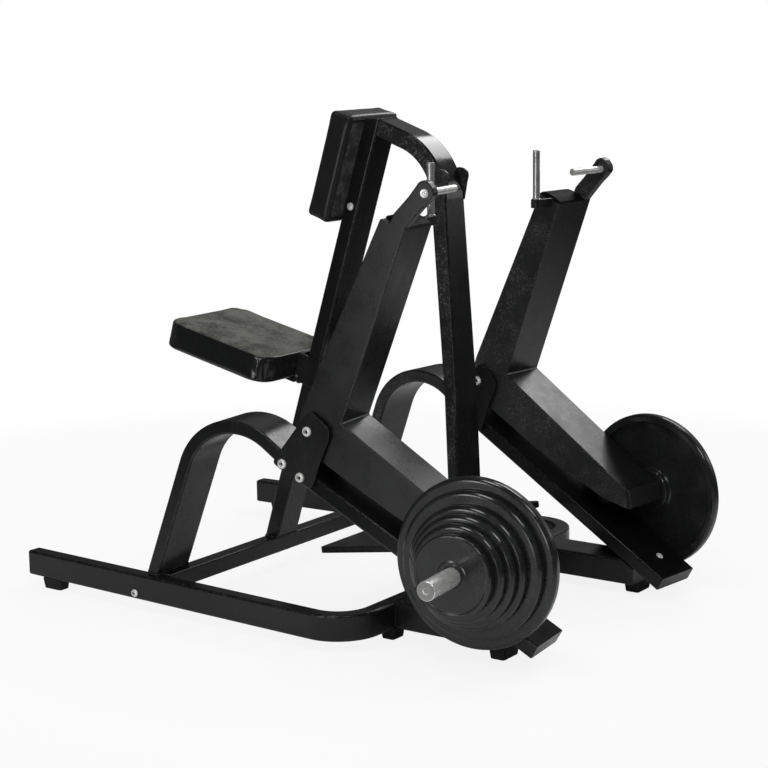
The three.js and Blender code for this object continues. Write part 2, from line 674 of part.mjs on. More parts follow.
// Sleeve: the loading bar with its collar against the arm
const collarRadius = 34;
const sleeveChamfer = 3;
const sleeveProfile = [
  [0, -armHalfWidth + sleeveInside],
  [sleeveStud, -armHalfWidth + sleeveInside],
  [sleeveStud, -armHalfWidth - fit],
  [collarRadius, -armHalfWidth - fit],
  [collarRadius, -armHalfWidth - collarThickness],
  [sleeveRadius, -armHalfWidth - collarThickness],
  [sleeveRadius, -sleeveTip + sleeveChamfer],
  [sleeveRadius - sleeveChamfer, -sleeveTip],
  [0, -sleeveTip],
];
addPair('sleeve', turnedAlongY(sleeveProfile, rodSegments * 2, 0, axleHeight), steel);

// Discs: the largest is dished on its inner face, the others are flat with a raised rim
const discBore = sleeveRadius + boreGap;
const discRimShare = 0.9;
const discDish = 3;
let discFrom = discStackStart;
discRadii.forEach((radius, i) => {
  const thickness = i === 0 ? largeDiscThickness : smallDiscThickness;
  const inner = -discFrom;
  const outer = -discFrom - thickness;
  const profile = [];
  if (i === 0) {
    profile.push([discBore, inner]);
    profile.push([largeDiscHub, inner]);
    profile.push([largeDiscHub, outer + largeDiscWeb]);
    profile.push([radius - largeDiscRim, outer + largeDiscWeb]);
    profile.push([radius - largeDiscRim, inner]);
  } else {
    profile.push([discBore, inner]);
  }
  profile.push([radius - discEdge, inner]);
  profile.push([radius, inner - discEdge]);
  profile.push([radius, outer + discEdge]);
  profile.push([radius - discEdge, outer]);
  if (i === discRadii.length - 1) {
    profile.push([radius * discRimShare, outer]);
    profile.push([radius * discRimShare - discDish, outer + discDish]);
    profile.push([discBore + discDish, outer + discDish]);
    profile.push([discBore, outer + discDish * 2]);
  } else {
    profile.push([discBore, outer]);
  }
  profile.push(profile[0]);
  addPair(`disc_${i + 1}`, turnedAlongY(profile, discSegments, 0, axleHeight), castIron);
  discFrom += thickness + fit;
});

// Bump stop: a rubber buffer on the sloped bar that the lowered arm rests on
const stopRadius = 22;
const stopBehindAxle = 135;
const stopOutward = 35;
const stopFoot = [
  -stopBehindAxle + barNormal[0] * (barThickness / 2 + fit),
  barToeHeight + (barToeAheadOfAxle + stopBehindAxle) * Math.tan(barSlope)
    + barNormal[1] * (barThickness / 2 + fit),
];
const stopTall = lowerHeelDepth;
const stopBlank = new THREE.CylinderGeometry(stopRadius, stopRadius, stopTall, rodSegments)
  .rotateX(Math.PI / 2).translate(0, 0, stopTall / 2)
  .rotateY(barSlope).translate(stopFoot[0], -stopOutward, stopFoot[1]);
const armKeepOut = toSolid(sidePrism(insetOutline(armOutline, -fit), -armHalfWidth, armHalfWidth));
addPair('bump_stop', toGeometry(toSolid(stopBlank).subtract(armKeepOut)), rubber);

// Seat top at rest: the rack and the seat carriage keep their places under it
const seatTopHeight = 722;
const rackAboveSeat = 38;
const carriageBelowSeat = 90;

// Seat post: leans forward from the rear crossbar, with a toothed rack on its rear face
const postHalfWidth = 48;
const postDepth = 46.5;
const postWall = 4;
const postLean = 0.3061;
const postTop = 1360;
const postFootBehindAxle = 1020;
const postUp = [Math.sin(postLean), Math.cos(postLean)];
const postBack = [-Math.cos(postLean), Math.sin(postLean)];
const postFootX = axleX - postFootBehindAxle;
const postHorizontalDepth = postDepth / Math.cos(postLean);
const postXAt = (z) => postFootX + (z - baseTop) * Math.tan(postLean);
const postOutline = [
  [postXAt(baseTop), baseTop],
  [postXAt(baseTop) + postHorizontalDepth, baseTop],
  [postXAt(postTop) + postHorizontalDepth, postTop],
  [postXAt(postTop), postTop],
];
const postInner = insetOutline(postOutline, [-overrun, postWall, postWall, postWall]);
const rackPitch = 16.5;
const rackDepth = 10;
const rackRoot = 4;
const rackHalfWidth = 8;
const rackTeeth = 9;
const rackTopHeight = seatTopHeight + rackAboveSeat;
const postPoint = (run, back) => [
  postXAt(rackTopHeight) + postUp[0] * run + postBack[0] * back,
  rackTopHeight + postUp[1] * run + postBack[1] * back,
];
const rackOutline = [postPoint(0, -postWall / 2)];
for (let i = 0; i < rackTeeth; i += 1) {
  rackOutline.push(postPoint(-i * rackPitch, rackRoot));
  rackOutline.push(postPoint(-(i + 1) * rackPitch + rackPitch / 4, rackDepth));
  rackOutline.push(postPoint(-(i + 1) * rackPitch, rackDepth));
}
rackOutline.push(postPoint(-rackTeeth * rackPitch, -postWall / 2));
const postSolid = toSolid(sidePrism(postOutline, -postHalfWidth, postHalfWidth))
  .subtract(toSolid(sidePrism(postInner, -postHalfWidth + postWall, postHalfWidth - postWall)))
  .add(toSolid(sidePrism(rackOutline, -rackHalfWidth, rackHalfWidth)));
addMesh(group, 'seat_post', toGeometry(postSolid), blackPaint);

// Front column: a tube that spreads sideways and thins from front to back toward its foot,
// with two cheeks at its top that hold the top bar
const columnFootBehindAxle = 312;
const columnKneeBehindAxle = 321;
const columnShoulderBehindAxle = 357;
const columnFootDepth = 20;
const columnKneeDepth = 41;
const columnDepth = 48.4;
const columnWall = 5.7;
const columnKnee = 600;
const shoulderBelowPostTop = 217;
const columnShoulder = postTop - shoulderBelowPostTop;
const columnFootHalfWidth = 72;
const columnKneeHalfWidth = 54.5;
const columnHalfWidth = 48;
const columnFootX = axleX - columnFootBehindAxle;
const columnKneeX = axleX - columnKneeBehindAxle;
const columnShoulderX = axleX - columnShoulderBehindAxle;
const columnSide = [
  [columnFootX - columnFootDepth, baseTop],
  [columnFootX, baseTop],
  [columnKneeX, columnKnee],
  [columnShoulderX, columnShoulder],
  [columnShoulderX - columnDepth, columnShoulder],
  [columnKneeX - columnKneeDepth, columnKnee],
];
const columnFace = [
  [-columnFootHalfWidth, baseTop],
  [columnFootHalfWidth, baseTop],
  [columnKneeHalfWidth, columnKnee],
  [columnHalfWidth, columnShoulder],
  [-columnHalfWidth, columnShoulder],
  [-columnKneeHalfWidth, columnKnee],
];
const columnInsets = [-overrun, columnWall, columnWall, -overrun, columnWall, columnWall];
const columnBackX = columnFootX - machineLength / 4;
const columnFrontX = columnFootX + machineLength / 4;
const columnBlank = toSolid(sidePrism(columnSide, -columnFootHalfWidth, columnFootHalfWidth))
  .intersect(toSolid(frontPrism(columnFace, columnBackX, columnFrontX)));
const columnInnerSide = insetOutline(columnSide, columnInsets);
const columnInnerFace = insetOutline(columnFace, columnInsets);
const columnHollow = toSolid(sidePrism(columnInnerSide, -columnFootHalfWidth, columnFootHalfWidth))
  .intersect(toSolid(frontPrism(columnInnerFace, columnBackX, columnFrontX)));
const topBarHalfWidth = 46;
const cheekThickness = 5.7;
const cheekInner = topBarHalfWidth + fit;
const cheekHeight = 84;
const cheekShares = [
  [0, -0.06], [0.19, 0.51], [0.29, 0.71], [0.25, 0.87], [0, 0.97], [-0.33, 1],
  [-0.79, 0.94], [-1.06, 0.74], [-1.0, -0.06],
];
const cheekOutline = cheekShares.map((share) => [
  columnShoulderX + share[0] * columnDepth,
  columnShoulder + share[1] * cheekHeight,
]);
const cheek = toSolid(sidePrism(cheekOutline, cheekInner, cheekInner + cheekThickness));
const cheekOther = toSolid(sidePrism(cheekOutline, -cheekInner - cheekThickness, -cheekInner));
const columnSolid = columnBlank.subtract(columnHollow).add(cheek).add(cheekOther);
addMesh(group, 'front_column', toGeometry(columnSolid), blackPaint);

// Top bar: bent tube from the post's front face down into the column's cheeks
const topBarThickness = 50;
const topBarWall = 4;
const topBarBendShare = 0.9565;
const topBarDroop = 0.351;
const topBarBelowPostTop = 28;
const topBarEnd = [columnShoulderX - columnDepth / 2, columnShoulder + fit];
const columnUp = [columnShoulderX - columnKneeX, columnShoulder - columnKnee];
const topBarStart = [postXAt(postTop) + postHorizontalDepth, postTop - topBarBelowPostTop];
const topBarDown = [Math.cos(topBarDroop), -Math.sin(topBarDroop)];
const topBarCross = topBarDown[0] * columnUp[1] - topBarDown[1] * columnUp[0];
const topBarApart = [topBarEnd[0] - topBarStart[0], topBarEnd[1] - topBarStart[1]];
const topBarRun = (topBarApart[0] * columnUp[1] - topBarApart[1] * columnUp[0]) / topBarCross;
const topBarCorner = [
  topBarStart[0] + topBarDown[0] * topBarRun,
  topBarStart[1] + topBarDown[1] * topBarRun,
];
const topBarLeg = Math.hypot(topBarCorner[0] - topBarEnd[0], topBarCorner[1] - topBarEnd[1]);
const topBarLegDown = [
  (topBarEnd[0] - topBarCorner[0]) / topBarLeg,
  (topBarEnd[1] - topBarCorner[1]) / topBarLeg,
];
const topBarTurn = Math.acos(topBarDown[0] * topBarLegDown[0] + topBarDown[1] * topBarLegDown[1]);
const topBarBendRadius = (topBarLeg * topBarBendShare) / Math.tan(topBarTurn / 2);
const topBarPath = bentPath([topBarStart, topBarCorner, topBarEnd], topBarBendRadius, bendSteps);
const topBarBlank = barOutline(topBarPath, topBarThickness / 2, topBarThickness, 0);
const topBarInside = topBarThickness / 2 - topBarWall;
const topBarHollow = barOutline(topBarPath, topBarInside, topBarThickness + overrun, overrun);
const postKeepOut = toSolid(sidePrism([
  [postXAt(baseTop) - machineLength, baseTop],
  [postXAt(baseTop) + postHorizontalDepth + fit, baseTop],
  [postXAt(postTop * 2) + postHorizontalDepth + fit, postTop * 2],
  [postXAt(postTop * 2) - machineLength, postTop * 2],
], -postHalfWidth - overrun, postHalfWidth + overrun));
const belowShoulder = toSolid(box(columnBackX, columnFrontX, -columnFootHalfWidth, columnFootHalfWidth,
  0, columnShoulder + fit));
const topBarSolid = toSolid(sidePrism(topBarBlank, -topBarHalfWidth, topBarHalfWidth))
  .subtract(toSolid(sidePrism(topBarHollow, -topBarHalfWidth + topBarWall, topBarHalfWidth - topBarWall)))
  .subtract(postKeepOut).subtract(belowShoulder);
addMesh(group, 'top_bar', toGeometry(topBarSolid), blackPaint);

// Foot plate: a sloping plate notched round the column, on two gussets
const footPlateThickness = 18;
const footPlateHalfWidth = 300;
const footPlateBackBehindAxle = 622;
const footPlateBackHeight = 184;
const footPlateFrontBehindAxle = 262;
const footPlateFrontHeight = 240;
const gussetThickness = 8;
const footPlateBackX = axleX - footPlateBackBehindAxle;
const footPlateFrontX = axleX - footPlateFrontBehindAxle;
const footPlateSlope = (footPlateFrontHeight - footPlateBackHeight) / (footPlateFrontX - footPlateBackX);
const footPlateOutline = [
  [footPlateBackX, footPlateBackHeight - footPlateThickness],
  [footPlateFrontX, footPlateFrontHeight - footPlateThickness],
  [footPlateFrontX, footPlateFrontHeight],
  [footPlateBackX, footPlateBackHeight],
];
const columnShareAt = (z) => (z - baseTop) / (columnKnee - baseTop);
const columnHalfAt = (z) => columnFootHalfWidth
  - columnShareAt(z) * (columnFootHalfWidth - columnKneeHalfWidth);
const columnFootBack = columnFootX - columnFootDepth;
const columnKneeBack = columnKneeX - columnKneeDepth;
const columnBackAt = (z) => columnFootBack + columnShareAt(z) * (columnKneeBack - columnFootBack);
const notchHalf = columnHalfAt(footPlateBackHeight) + fit;
const notchFrom = columnBackAt(footPlateFrontHeight) - fit;
const footPlateNotch = toSolid(box(notchFrom, footPlateFrontX + overrun, -notchHalf, notchHalf,
  baseTop, footPlateFrontHeight + overrun));
const gussetFrom = columnHalfAt(baseTop) + fit;
const gussetTo = gussetFrom + gussetThickness;
const gussetBackX = frontBarX - railHalf;
const gussetFrontX = frontBarX + railHalf;
const underPlateAt = (x) => footPlateBackHeight - footPlateThickness / 2
  + (x - footPlateBackX) * footPlateSlope;
const gussetOutline = [
  [gussetBackX, baseTop],
  [gussetFrontX, baseTop],
  [gussetFrontX, underPlateAt(gussetFrontX)],
  [gussetBackX - railThickness, underPlateAt(gussetBackX - railThickness)],
];
const gussetGeometry = sidePrism(gussetOutline, gussetFrom, gussetTo);
const footPlateSolid = toSolid(sidePrism(footPlateOutline, -footPlateHalfWidth, footPlateHalfWidth))
  .subtract(footPlateNotch).add(toSolid(gussetGeometry)).add(toSolid(mirrored(gussetGeometry)));
addMesh(group, 'foot_plate', toGeometry(footPlateSolid), blackPaint);

// A cushion: crowned top, drawn-in sides, lying on z = 0 of its own frame
const cushionStations = 12;
function cushion(halfLength, halfWidth, thickness, corner, crown, edge) {
  const rings = [
    { inset: edge, height: 0, lift: 0 },
    { inset: edge * 0.3, height: edge * 0.6, lift: 0 },
    { inset: edge * 0.2, height: thickness / 2, lift: 0 },
    { inset: 0, height: thickness - edge * 1.5, lift: 0 },
    { inset: edge * 0.3, height: thickness - edge * 0.4, lift: 0 },
    { inset: edge, height: thickness, lift: 0 },
    { inset: halfWidth * 0.3, height: thickness, lift: 0.45 },
    { inset: halfWidth * 0.6, height: thickness, lift: 0.85 },
  ];
  const vertices = [];
  const faces = [];
  const perRing = 4 * cushionStations;
  rings.forEach((ring) => {
    const a = halfLength - ring.inset;
    const b = halfWidth - ring.inset;
    const radius = Math.max(corner - ring.inset, corner * 0.35);
    for (let quarter = 0; quarter < 4; quarter += 1) {
      for (let k = 0; k < cushionStations; k += 1) {
        const angle = ((quarter + k / (cushionStations - 1)) * Math.PI) / 2;
        const signX = quarter === 0 || quarter === 3 ? 1 : -1;
        const signY = quarter < 2 ? 1 : -1;
        vertices.push(signX * (a - radius) + radius * Math.cos(angle));
        vertices.push(signY * (b - radius) + radius * Math.sin(angle));
        vertices.push(ring.height + ring.lift * crown);
      }
    }
  });
  const bottomCentre = vertices.length / 3;
  vertices.push(0, 0, 0);
  const topCentre = vertices.length / 3;
  vertices.push(0, 0, thickness + crown);
  for (let k = 0; k < perRing; k += 1) {
    const next = (k + 1) % perRing;
    faces.push(bottomCentre, next, k);
    for (let r = 0; r < rings.length - 1; r += 1) {
      const low = r * perRing;
      const high = low + perRing;
      faces.push(low + k, low + next, high + next);
      faces.push(low + k, high + next, high + k);
    }
    const top = (rings.length - 1) * perRing;
    faces.push(top + k, top + next, topCentre);
  }
  const geometry = new THREE.BufferGeometry();
  geometry.setAttribute('position', new THREE.BufferAttribute(new Float32Array(vertices), 3));
  geometry.setIndex(faces);
  const flat = geometry.toNonIndexed();
  flat.computeVertexNormals();
  return flat;
}

// Chest pad and its board, on the post's rear face
const padHalfWidth = 121;
const padHalfLength = 159;
const padBoardThickness = 12;
const padCushionThickness = 61;
const padCrown = 3;
const padCorner = 12;
const padEdge = 7;
const padBelowPostTop = 142;
const padCentreHeight = postTop - padBelowPostTop;
const padBoardInset = 8;
const padFrame = (along, back) => [
  postXAt(padCentreHeight) + postUp[0] * along + postBack[0] * back,
  padCentreHeight + postUp[1] * along + postBack[1] * back,
];
const padBoardHalf = padHalfLength - padBoardInset;
const padBoardOutline = [
  padFrame(-padBoardHalf, fit),
  padFrame(padBoardHalf, fit),
  padFrame(padBoardHalf, fit + padBoardThickness),
  padFrame(-padBoardHalf, fit + padBoardThickness),
];
addMesh(group, 'chest_board', sidePrism(padBoardOutline, -padHalfWidth + padBoardInset,
  padHalfWidth - padBoardInset), plastic);
const padBase = padFrame(0, fit + padBoardThickness + fit);
const padGeometry = cushion(padHalfLength, padHalfWidth, padCushionThickness, padCorner, padCrown, padEdge)
  .rotateY(-Math.PI / 2 + postLean).translate(padBase[0], 0, padBase[1]);
addMesh(group, 'chest_pad', padGeometry, vinyl);

// Seat carriage: a sleeve on the post with an arm under the seat
const carriageHeightOnPost = seatTopHeight - carriageBelowSeat;
const carriageUp = 40;
const carriageDown = 45;
const carriageWall = 6;
const carriageGap = 0.6;
const carriageRear = 30;
const carriageFrame = (along, back) => [
  postXAt(carriageHeightOnPost) + postUp[0] * along + postBack[0] * back,
  carriageHeightOnPost + postUp[1] * along + postBack[1] * back,
];
const carriageRect = (from, to, front, back) => [
  carriageFrame(from, front), carriageFrame(to, front), carriageFrame(to, back), carriageFrame(from, back),
];
const carriageHalfWidth = postHalfWidth + carriageGap + carriageWall;
const carriageFront = -postDepth - carriageGap - carriageWall;
const carriageOuter = toSolid(sidePrism(
  carriageRect(-carriageDown, carriageUp, carriageFront, carriageRear),
  -carriageHalfWidth, carriageHalfWidth));
const carriageChannel = toSolid(sidePrism(
  carriageRect(-carriageDown - overrun, carriageUp + overrun, -postDepth - carriageGap, carriageGap),
  -postHalfWidth - carriageGap, postHalfWidth + carriageGap));
const carriagePocket = toSolid(sidePrism(
  carriageRect(-carriageDown - overrun, carriageUp + overrun, 0, carriageRear - carriageWall),
  -postHalfWidth + carriageWall, postHalfWidth - carriageWall));

// Seat: cushion and board on a slope that falls toward the post
const seatHalfLength = 199;
const seatHalfWidth = 175;
const seatCorner = 55;
const seatSlope = 0.2308;
const seatEndToPost = 68;
const seatBehindPost = seatHalfLength + seatEndToPost;
const seatBoardThickness = 12;
const seatCushionThickness = 71;
const seatCrown = 3;
const seatEdge = 6;
const seatBoardInset = 10;
const seatArmHalfWidth = 20;
const seatArmDepth = 12;
const seatStrutDepth = 9;
const seatStrutTop = 12;
const seatStrutBottom = 66;
const seatArmReach = 150;
const seatAlong = [Math.cos(seatSlope), -Math.sin(seatSlope)];
const seatUp = [Math.sin(seatSlope), Math.cos(seatSlope)];
const seatCentre = [postXAt(seatTopHeight) - seatBehindPost, seatTopHeight];
const seatFrame = (along, down) => [
  seatCentre[0] + seatAlong[0] * along - seatUp[0] * down,
  seatCentre[1] + seatAlong[1] * along - seatUp[1] * down,
];
const cushionDown = seatCushionThickness + seatCrown;
const boardFrom = cushionDown + fit;
const boardTo = boardFrom + seatBoardThickness;
const armFrom = boardTo + fit;
const armTo = armFrom + seatArmDepth;
const boardHalf = seatHalfLength - seatBoardInset;
const seatCushion = cushion(seatHalfLength, seatHalfWidth, seatCushionThickness, seatCorner,
  seatCrown, seatEdge)
  .rotateY(seatSlope).translate(seatFrame(0, cushionDown)[0], 0, seatFrame(0, cushionDown)[1]);
addMesh(group, 'seat_cushion', seatCushion, seatVinyl);

function roundedRectangle(halfLength, halfWidth, radius, steps) {
  const points = [];
  for (let quarter = 0; quarter < 4; quarter += 1) {
    const signX = quarter === 0 || quarter === 3 ? 1 : -1;
    const signY = quarter < 2 ? 1 : -1;
    for (let k = 0; k <= steps; k += 1) {
      const angle = ((quarter + k / steps) * Math.PI) / 2;
      points.push([
        signX * (halfLength - radius) + radius * Math.cos(angle),
        signY * (halfWidth - radius) + radius * Math.sin(angle),
      ]);
    }
  }
  return points;
}

const seatBoardOutline = roundedRectangle(boardHalf, seatHalfWidth - seatBoardInset,
  seatCorner - seatBoardInset, bendSteps);
const seatBoard = planPrism(seatBoardOutline, 0, seatBoardThickness)
  .rotateY(seatSlope).translate(seatFrame(0, boardTo)[0], 0, seatFrame(0, boardTo)[1]);
addMesh(group, 'seat_board', seatBoard, plastic);

const seatArmOutline = [
  seatFrame(-seatArmReach, armFrom),
  seatFrame(seatHalfLength + carriageRear, armFrom),
  seatFrame(seatHalfLength + carriageRear, armTo),
  seatFrame(-seatArmReach, armTo - seatArmDepth / 3),
];
const behindCarriage = toSolid(sidePrism(
  carriageRect(-postTop, postTop, -postTop, carriageRear - carriageWall / 2),
  -carriageHalfWidth, carriageHalfWidth));
const seatStrutFront = carriageRear - carriageWall / 2;
const seatStrutBack = carriageRear + seatStrutDepth;
const seatStrut = toSolid(sidePrism(
  carriageRect(-seatStrutBottom, -seatStrutTop, seatStrutFront, seatStrutBack),
  -seatArmHalfWidth, seatArmHalfWidth));
const seatArmSolid = toSolid(sidePrism(seatArmOutline, -seatArmHalfWidth, seatArmHalfWidth))
  .subtract(behindCarriage).add(seatStrut);

// Latch: a cross shaft in the carriage with a nose behind the rack and a lever on the left
const latchHalfWidth = 6;
const latchPinRadius = 4;
const latchPinBack = 18;
const latchPinDown = 30;
const latchGap = 0.5;
const latchNoseBack = rackDepth + latchGap;
const latchThickness = 8;
const latchNoseUp = 24;
const latchLeverLength = 70;
const latchLeverHalf = 6;
const latchLeverThickness = 6;
const latchPinAt = carriageFrame(-latchPinDown, latchPinBack);
const latchPinHole = toSolid(cylinderAlongY(latchPinRadius + fit, -carriageHalfWidth - overrun,
  carriageHalfWidth + overrun, boltSegments, latchPinAt[0], latchPinAt[1]));
const carriageSolid = carriageOuter.subtract(carriageChannel).subtract(carriagePocket)
  .add(seatArmSolid).subtract(latchPinHole);
addMesh(group, 'seat_carriage', toGeometry(carriageSolid), blackPaint);

const latchOutline = [
  carriageFrame(-latchPinDown + latchNoseUp, latchNoseBack),
  carriageFrame(-latchPinDown + latchNoseUp, latchNoseBack + latchThickness / 2),
  carriageFrame(-latchPinDown + latchThickness, latchPinBack + latchThickness / 2),
  carriageFrame(-latchPinDown - latchThickness, latchPinBack + latchThickness / 2),
  carriageFrame(-latchPinDown - latchThickness, latchPinBack - latchThickness / 2),
  carriageFrame(-latchPinDown, latchNoseBack),
];
const leverFrom = carriageHalfWidth + latchGap;
const leverTo = leverFrom + latchLeverThickness;
const leverOutline = [
  carriageFrame(-latchPinDown + latchLeverHalf, latchPinBack - latchLeverHalf),
  carriageFrame(-latchPinDown + latchLeverHalf, latchPinBack + latchLeverHalf),
  carriageFrame(-latchPinDown - latchLeverLength, latchPinBack + latchLeverHalf / 2),
  carriageFrame(-latchPinDown - latchLeverLength, latchPinBack - latchLeverHalf / 2),
];
const latchPin = toSolid(cylinderAlongY(latchPinRadius, -carriageHalfWidth, leverTo, boltSegments,
  latchPinAt[0], latchPinAt[1]));
const latchSolid = toSolid(sidePrism(latchOutline, -latchHalfWidth, latchHalfWidth)).add(latchPin)
  .add(toSolid(sidePrism(leverOutline, leverFrom, leverTo)));
addMesh(group, 'seat_latch', toGeometry(latchSolid), steel);

export default group;
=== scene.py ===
"""The looks of a chest-supported row machine that is loaded with discs.

Sizes are in millimetres until a mesh is made, where they become metres. The machine frame has
+X ahead of the user, +Y to the user's left and +Z up, with the floor at z = 0. The side frame
belongs to one arm: its x runs ahead from the disc axle, its y runs inward, and the whole of it
is turned outward by the splay. The left side is the mirror of the right.
"""

import math

import bmesh
import bpy
import numpy as np
from mathutils import Matrix, Vector


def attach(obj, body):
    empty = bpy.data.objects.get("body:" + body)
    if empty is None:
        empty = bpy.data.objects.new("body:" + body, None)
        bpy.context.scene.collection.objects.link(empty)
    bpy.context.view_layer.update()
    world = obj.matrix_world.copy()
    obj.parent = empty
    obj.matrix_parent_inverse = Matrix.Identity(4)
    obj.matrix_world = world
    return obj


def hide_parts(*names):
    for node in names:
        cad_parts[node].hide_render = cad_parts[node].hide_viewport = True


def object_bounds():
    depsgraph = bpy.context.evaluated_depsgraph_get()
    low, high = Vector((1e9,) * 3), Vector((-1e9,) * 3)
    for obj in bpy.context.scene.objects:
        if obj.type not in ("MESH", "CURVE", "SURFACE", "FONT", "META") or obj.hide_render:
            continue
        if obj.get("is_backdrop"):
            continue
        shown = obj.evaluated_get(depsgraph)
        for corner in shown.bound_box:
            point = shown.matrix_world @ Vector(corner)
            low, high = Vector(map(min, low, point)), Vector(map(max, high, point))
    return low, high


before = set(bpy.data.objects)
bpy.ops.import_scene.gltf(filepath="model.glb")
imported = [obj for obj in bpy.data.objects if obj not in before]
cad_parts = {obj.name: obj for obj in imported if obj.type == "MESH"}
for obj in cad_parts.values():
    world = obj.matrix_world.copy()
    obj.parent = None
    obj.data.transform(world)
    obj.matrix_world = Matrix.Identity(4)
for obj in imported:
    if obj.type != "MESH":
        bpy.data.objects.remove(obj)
cad_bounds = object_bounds()
scene = bpy.context.scene

MM = 0.001
RIGHT, LEFT = -1, 1
SIDES = {RIGHT: "right", LEFT: "left"}

# Driving sizes
AXLE_X = 635.66
ARM_SPREAD = 374.8
SPLAY = 0.1158
AXLE_Z = 272.0
PIVOT = np.array([-497.0, 568.0])
ARM_HALF = 75.0


# The camera
CAMERA_AT = (3.249285, -4.521238, 1.614844)
CAMERA_TURN = (2.188837, 0.180628, -0.014071)
CAMERA_FOCAL = 1963.101
CAMERA_CENTRE = (385.154, 384.101)
PHOTO_SIDE = 768
SENSOR_WIDTH = 36
CLIP_END = 60


def place_camera():
    """The camera stands where the photograph was taken from. Its yaw turns the line of sight
    about z, its pitch tips it down, and its roll turns the frame about it. Focal length and
    centre are in pixels of the photograph, so they are divided by its side."""
    data = bpy.data.cameras.new("camera")
    camera = bpy.data.objects.new("camera", data)
    scene.collection.objects.link(camera)
    yaw, pitch, roll = CAMERA_TURN
    ahead = Vector((math.cos(yaw), math.sin(yaw), 0))
    right = Vector((math.sin(yaw), -math.cos(yaw), 0))
    up = Vector((0, 0, 1))
    sight = ahead * math.cos(pitch) - up * math.sin(pitch)
    rise = up * math.cos(pitch) + ahead * math.sin(pitch)
    across = right * math.cos(roll) + rise * math.sin(roll)
    above = rise * math.cos(roll) - right * math.sin(roll)
    turn = Matrix((across, above, -sight)).transposed()
    camera.matrix_world = Matrix.Translation(Vector(CAMERA_AT)) @ turn.to_4x4()
    data.sensor_width = SENSOR_WIDTH
    data.lens = CAMERA_FOCAL * SENSOR_WIDTH / PHOTO_SIDE
    data.shift_x = (PHOTO_SIDE / 2 - CAMERA_CENTRE[0]) / PHOTO_SIDE
    data.shift_y = (CAMERA_CENTRE[1] - PHOTO_SIDE / 2) / PHOTO_SIDE
    data.clip_end = CLIP_END
    scene.camera = camera


place_camera()

# The outlines
ARC_SHARE = 0.42
HOLD_SHARE, HOLD_LEAST, HOLD_MOST = 0.2, 0.05, 0.6
SHARPEST = 0.2
BEND_HOLD = 2


def unit(vector):
    """The vector over its own length."""
    return vector / np.linalg.norm(vector, axis=-1, keepdims=True)


def rounded(points, radius, steps=5, closed=True):
    """Each corner becomes an arc that touches both of its edges: the arc is the blend, by the
    sines of its two part angles, of the spokes to its two ends. An arc takes at most ARC_SHARE of
    an edge. A holding point follows each of its ends, so that the flat parts stay flat when they
    are shaded. Returns points and a mask that is one on the arcs."""
    p = np.asarray(points, float)
    radius = np.broadcast_to(np.asarray(radius, float), (len(p),)).copy()
    if not closed:
        radius[[0, -1]] = 0
    back, on = np.roll(p, 1, 0) - p, np.roll(p, -1, 0) - p
    long_back, long_on = np.linalg.norm(back, axis=1), np.linalg.norm(on, axis=1)
    if not closed:
        back[0], on[-1] = -on[0], -back[-1]
        long_back[0], long_on[-1] = 1, 1
    back, on = back / long_back[:, None], on / long_on[:, None]
    half = np.arccos(np.clip((back * on).sum(1), -1, 1)) / 2
    half = np.clip(half, 1e-3, math.pi / 2 - 1e-4)
    run = np.minimum(radius / np.tan(half), ARC_SHARE * np.minimum(long_back, long_on))
    radius = run * np.tan(half)
    centre = p + unit(back + on + 1e-12) * (radius / np.sin(half))[:, None]
    first, last = p + back * run[:, None] - centre, p + on * run[:, None] - centre
    sweep = np.maximum(math.pi - 2 * half, 1e-4)[:, None, None]
    share = np.linspace(0, 1, steps + 1)[None, :, None]
    spokes = np.sin((1 - share) * sweep) * first[:, None] + np.sin(share * sweep) * last[:, None]
    arc = centre[:, None] + spokes / np.sin(sweep)
    held = np.minimum(HOLD_MOST, HOLD_SHARE * run + HOLD_LEAST)[:, None]
    before = p + back * (run[:, None] + held)
    after = p + on * (run[:, None] + held)
    rows = np.concatenate([before[:, None], arc, after[:, None]], 1)
    mask = np.zeros(rows.shape[:2])
    mask[:, 1:-1] = 1
    rows, mask = rows.reshape(-1, 2), mask.reshape(-1)
    if not closed:
        rows, mask = rows[steps + 2:-(steps + 2)], mask[steps + 2:-(steps + 2)]
        rows[0], rows[-1] = p[0], p[-1]
    gap = np.linalg.norm(np.diff(rows, axis=0), axis=1)
    keep = np.concatenate([[True], gap > 1e-3])
    return rows[keep], mask[keep]


def offset(outline, distance):
    """The outline moved to its inner side: each point goes along the sum of its two edge
    normals, divided by one plus their dot product."""
    edge = unit(np.roll(outline, -1, 0) - outline)
    normal = np.stack([-edge[:, 1], edge[:, 0]], 1)
    following = np.roll(outline, -1, 0)
    area = (outline[:, 0] * following[:, 1] - following[:, 0] * outline[:, 1]).sum()
    normal *= np.sign(area)
    before = np.roll(normal, 1, 0)
    shift = (normal + before) / np.maximum(1 + (normal * before).sum(1, keepdims=True), SHARPEST)
    return outline + distance * shift


def section(half_u, half_v, corner):
    """A rounded rectangle, its corners in the same order for every size."""
    points = [[half_u, half_v], [-half_u, half_v], [-half_u, -half_v], [half_u, -half_v]]
    return rounded(points, corner)


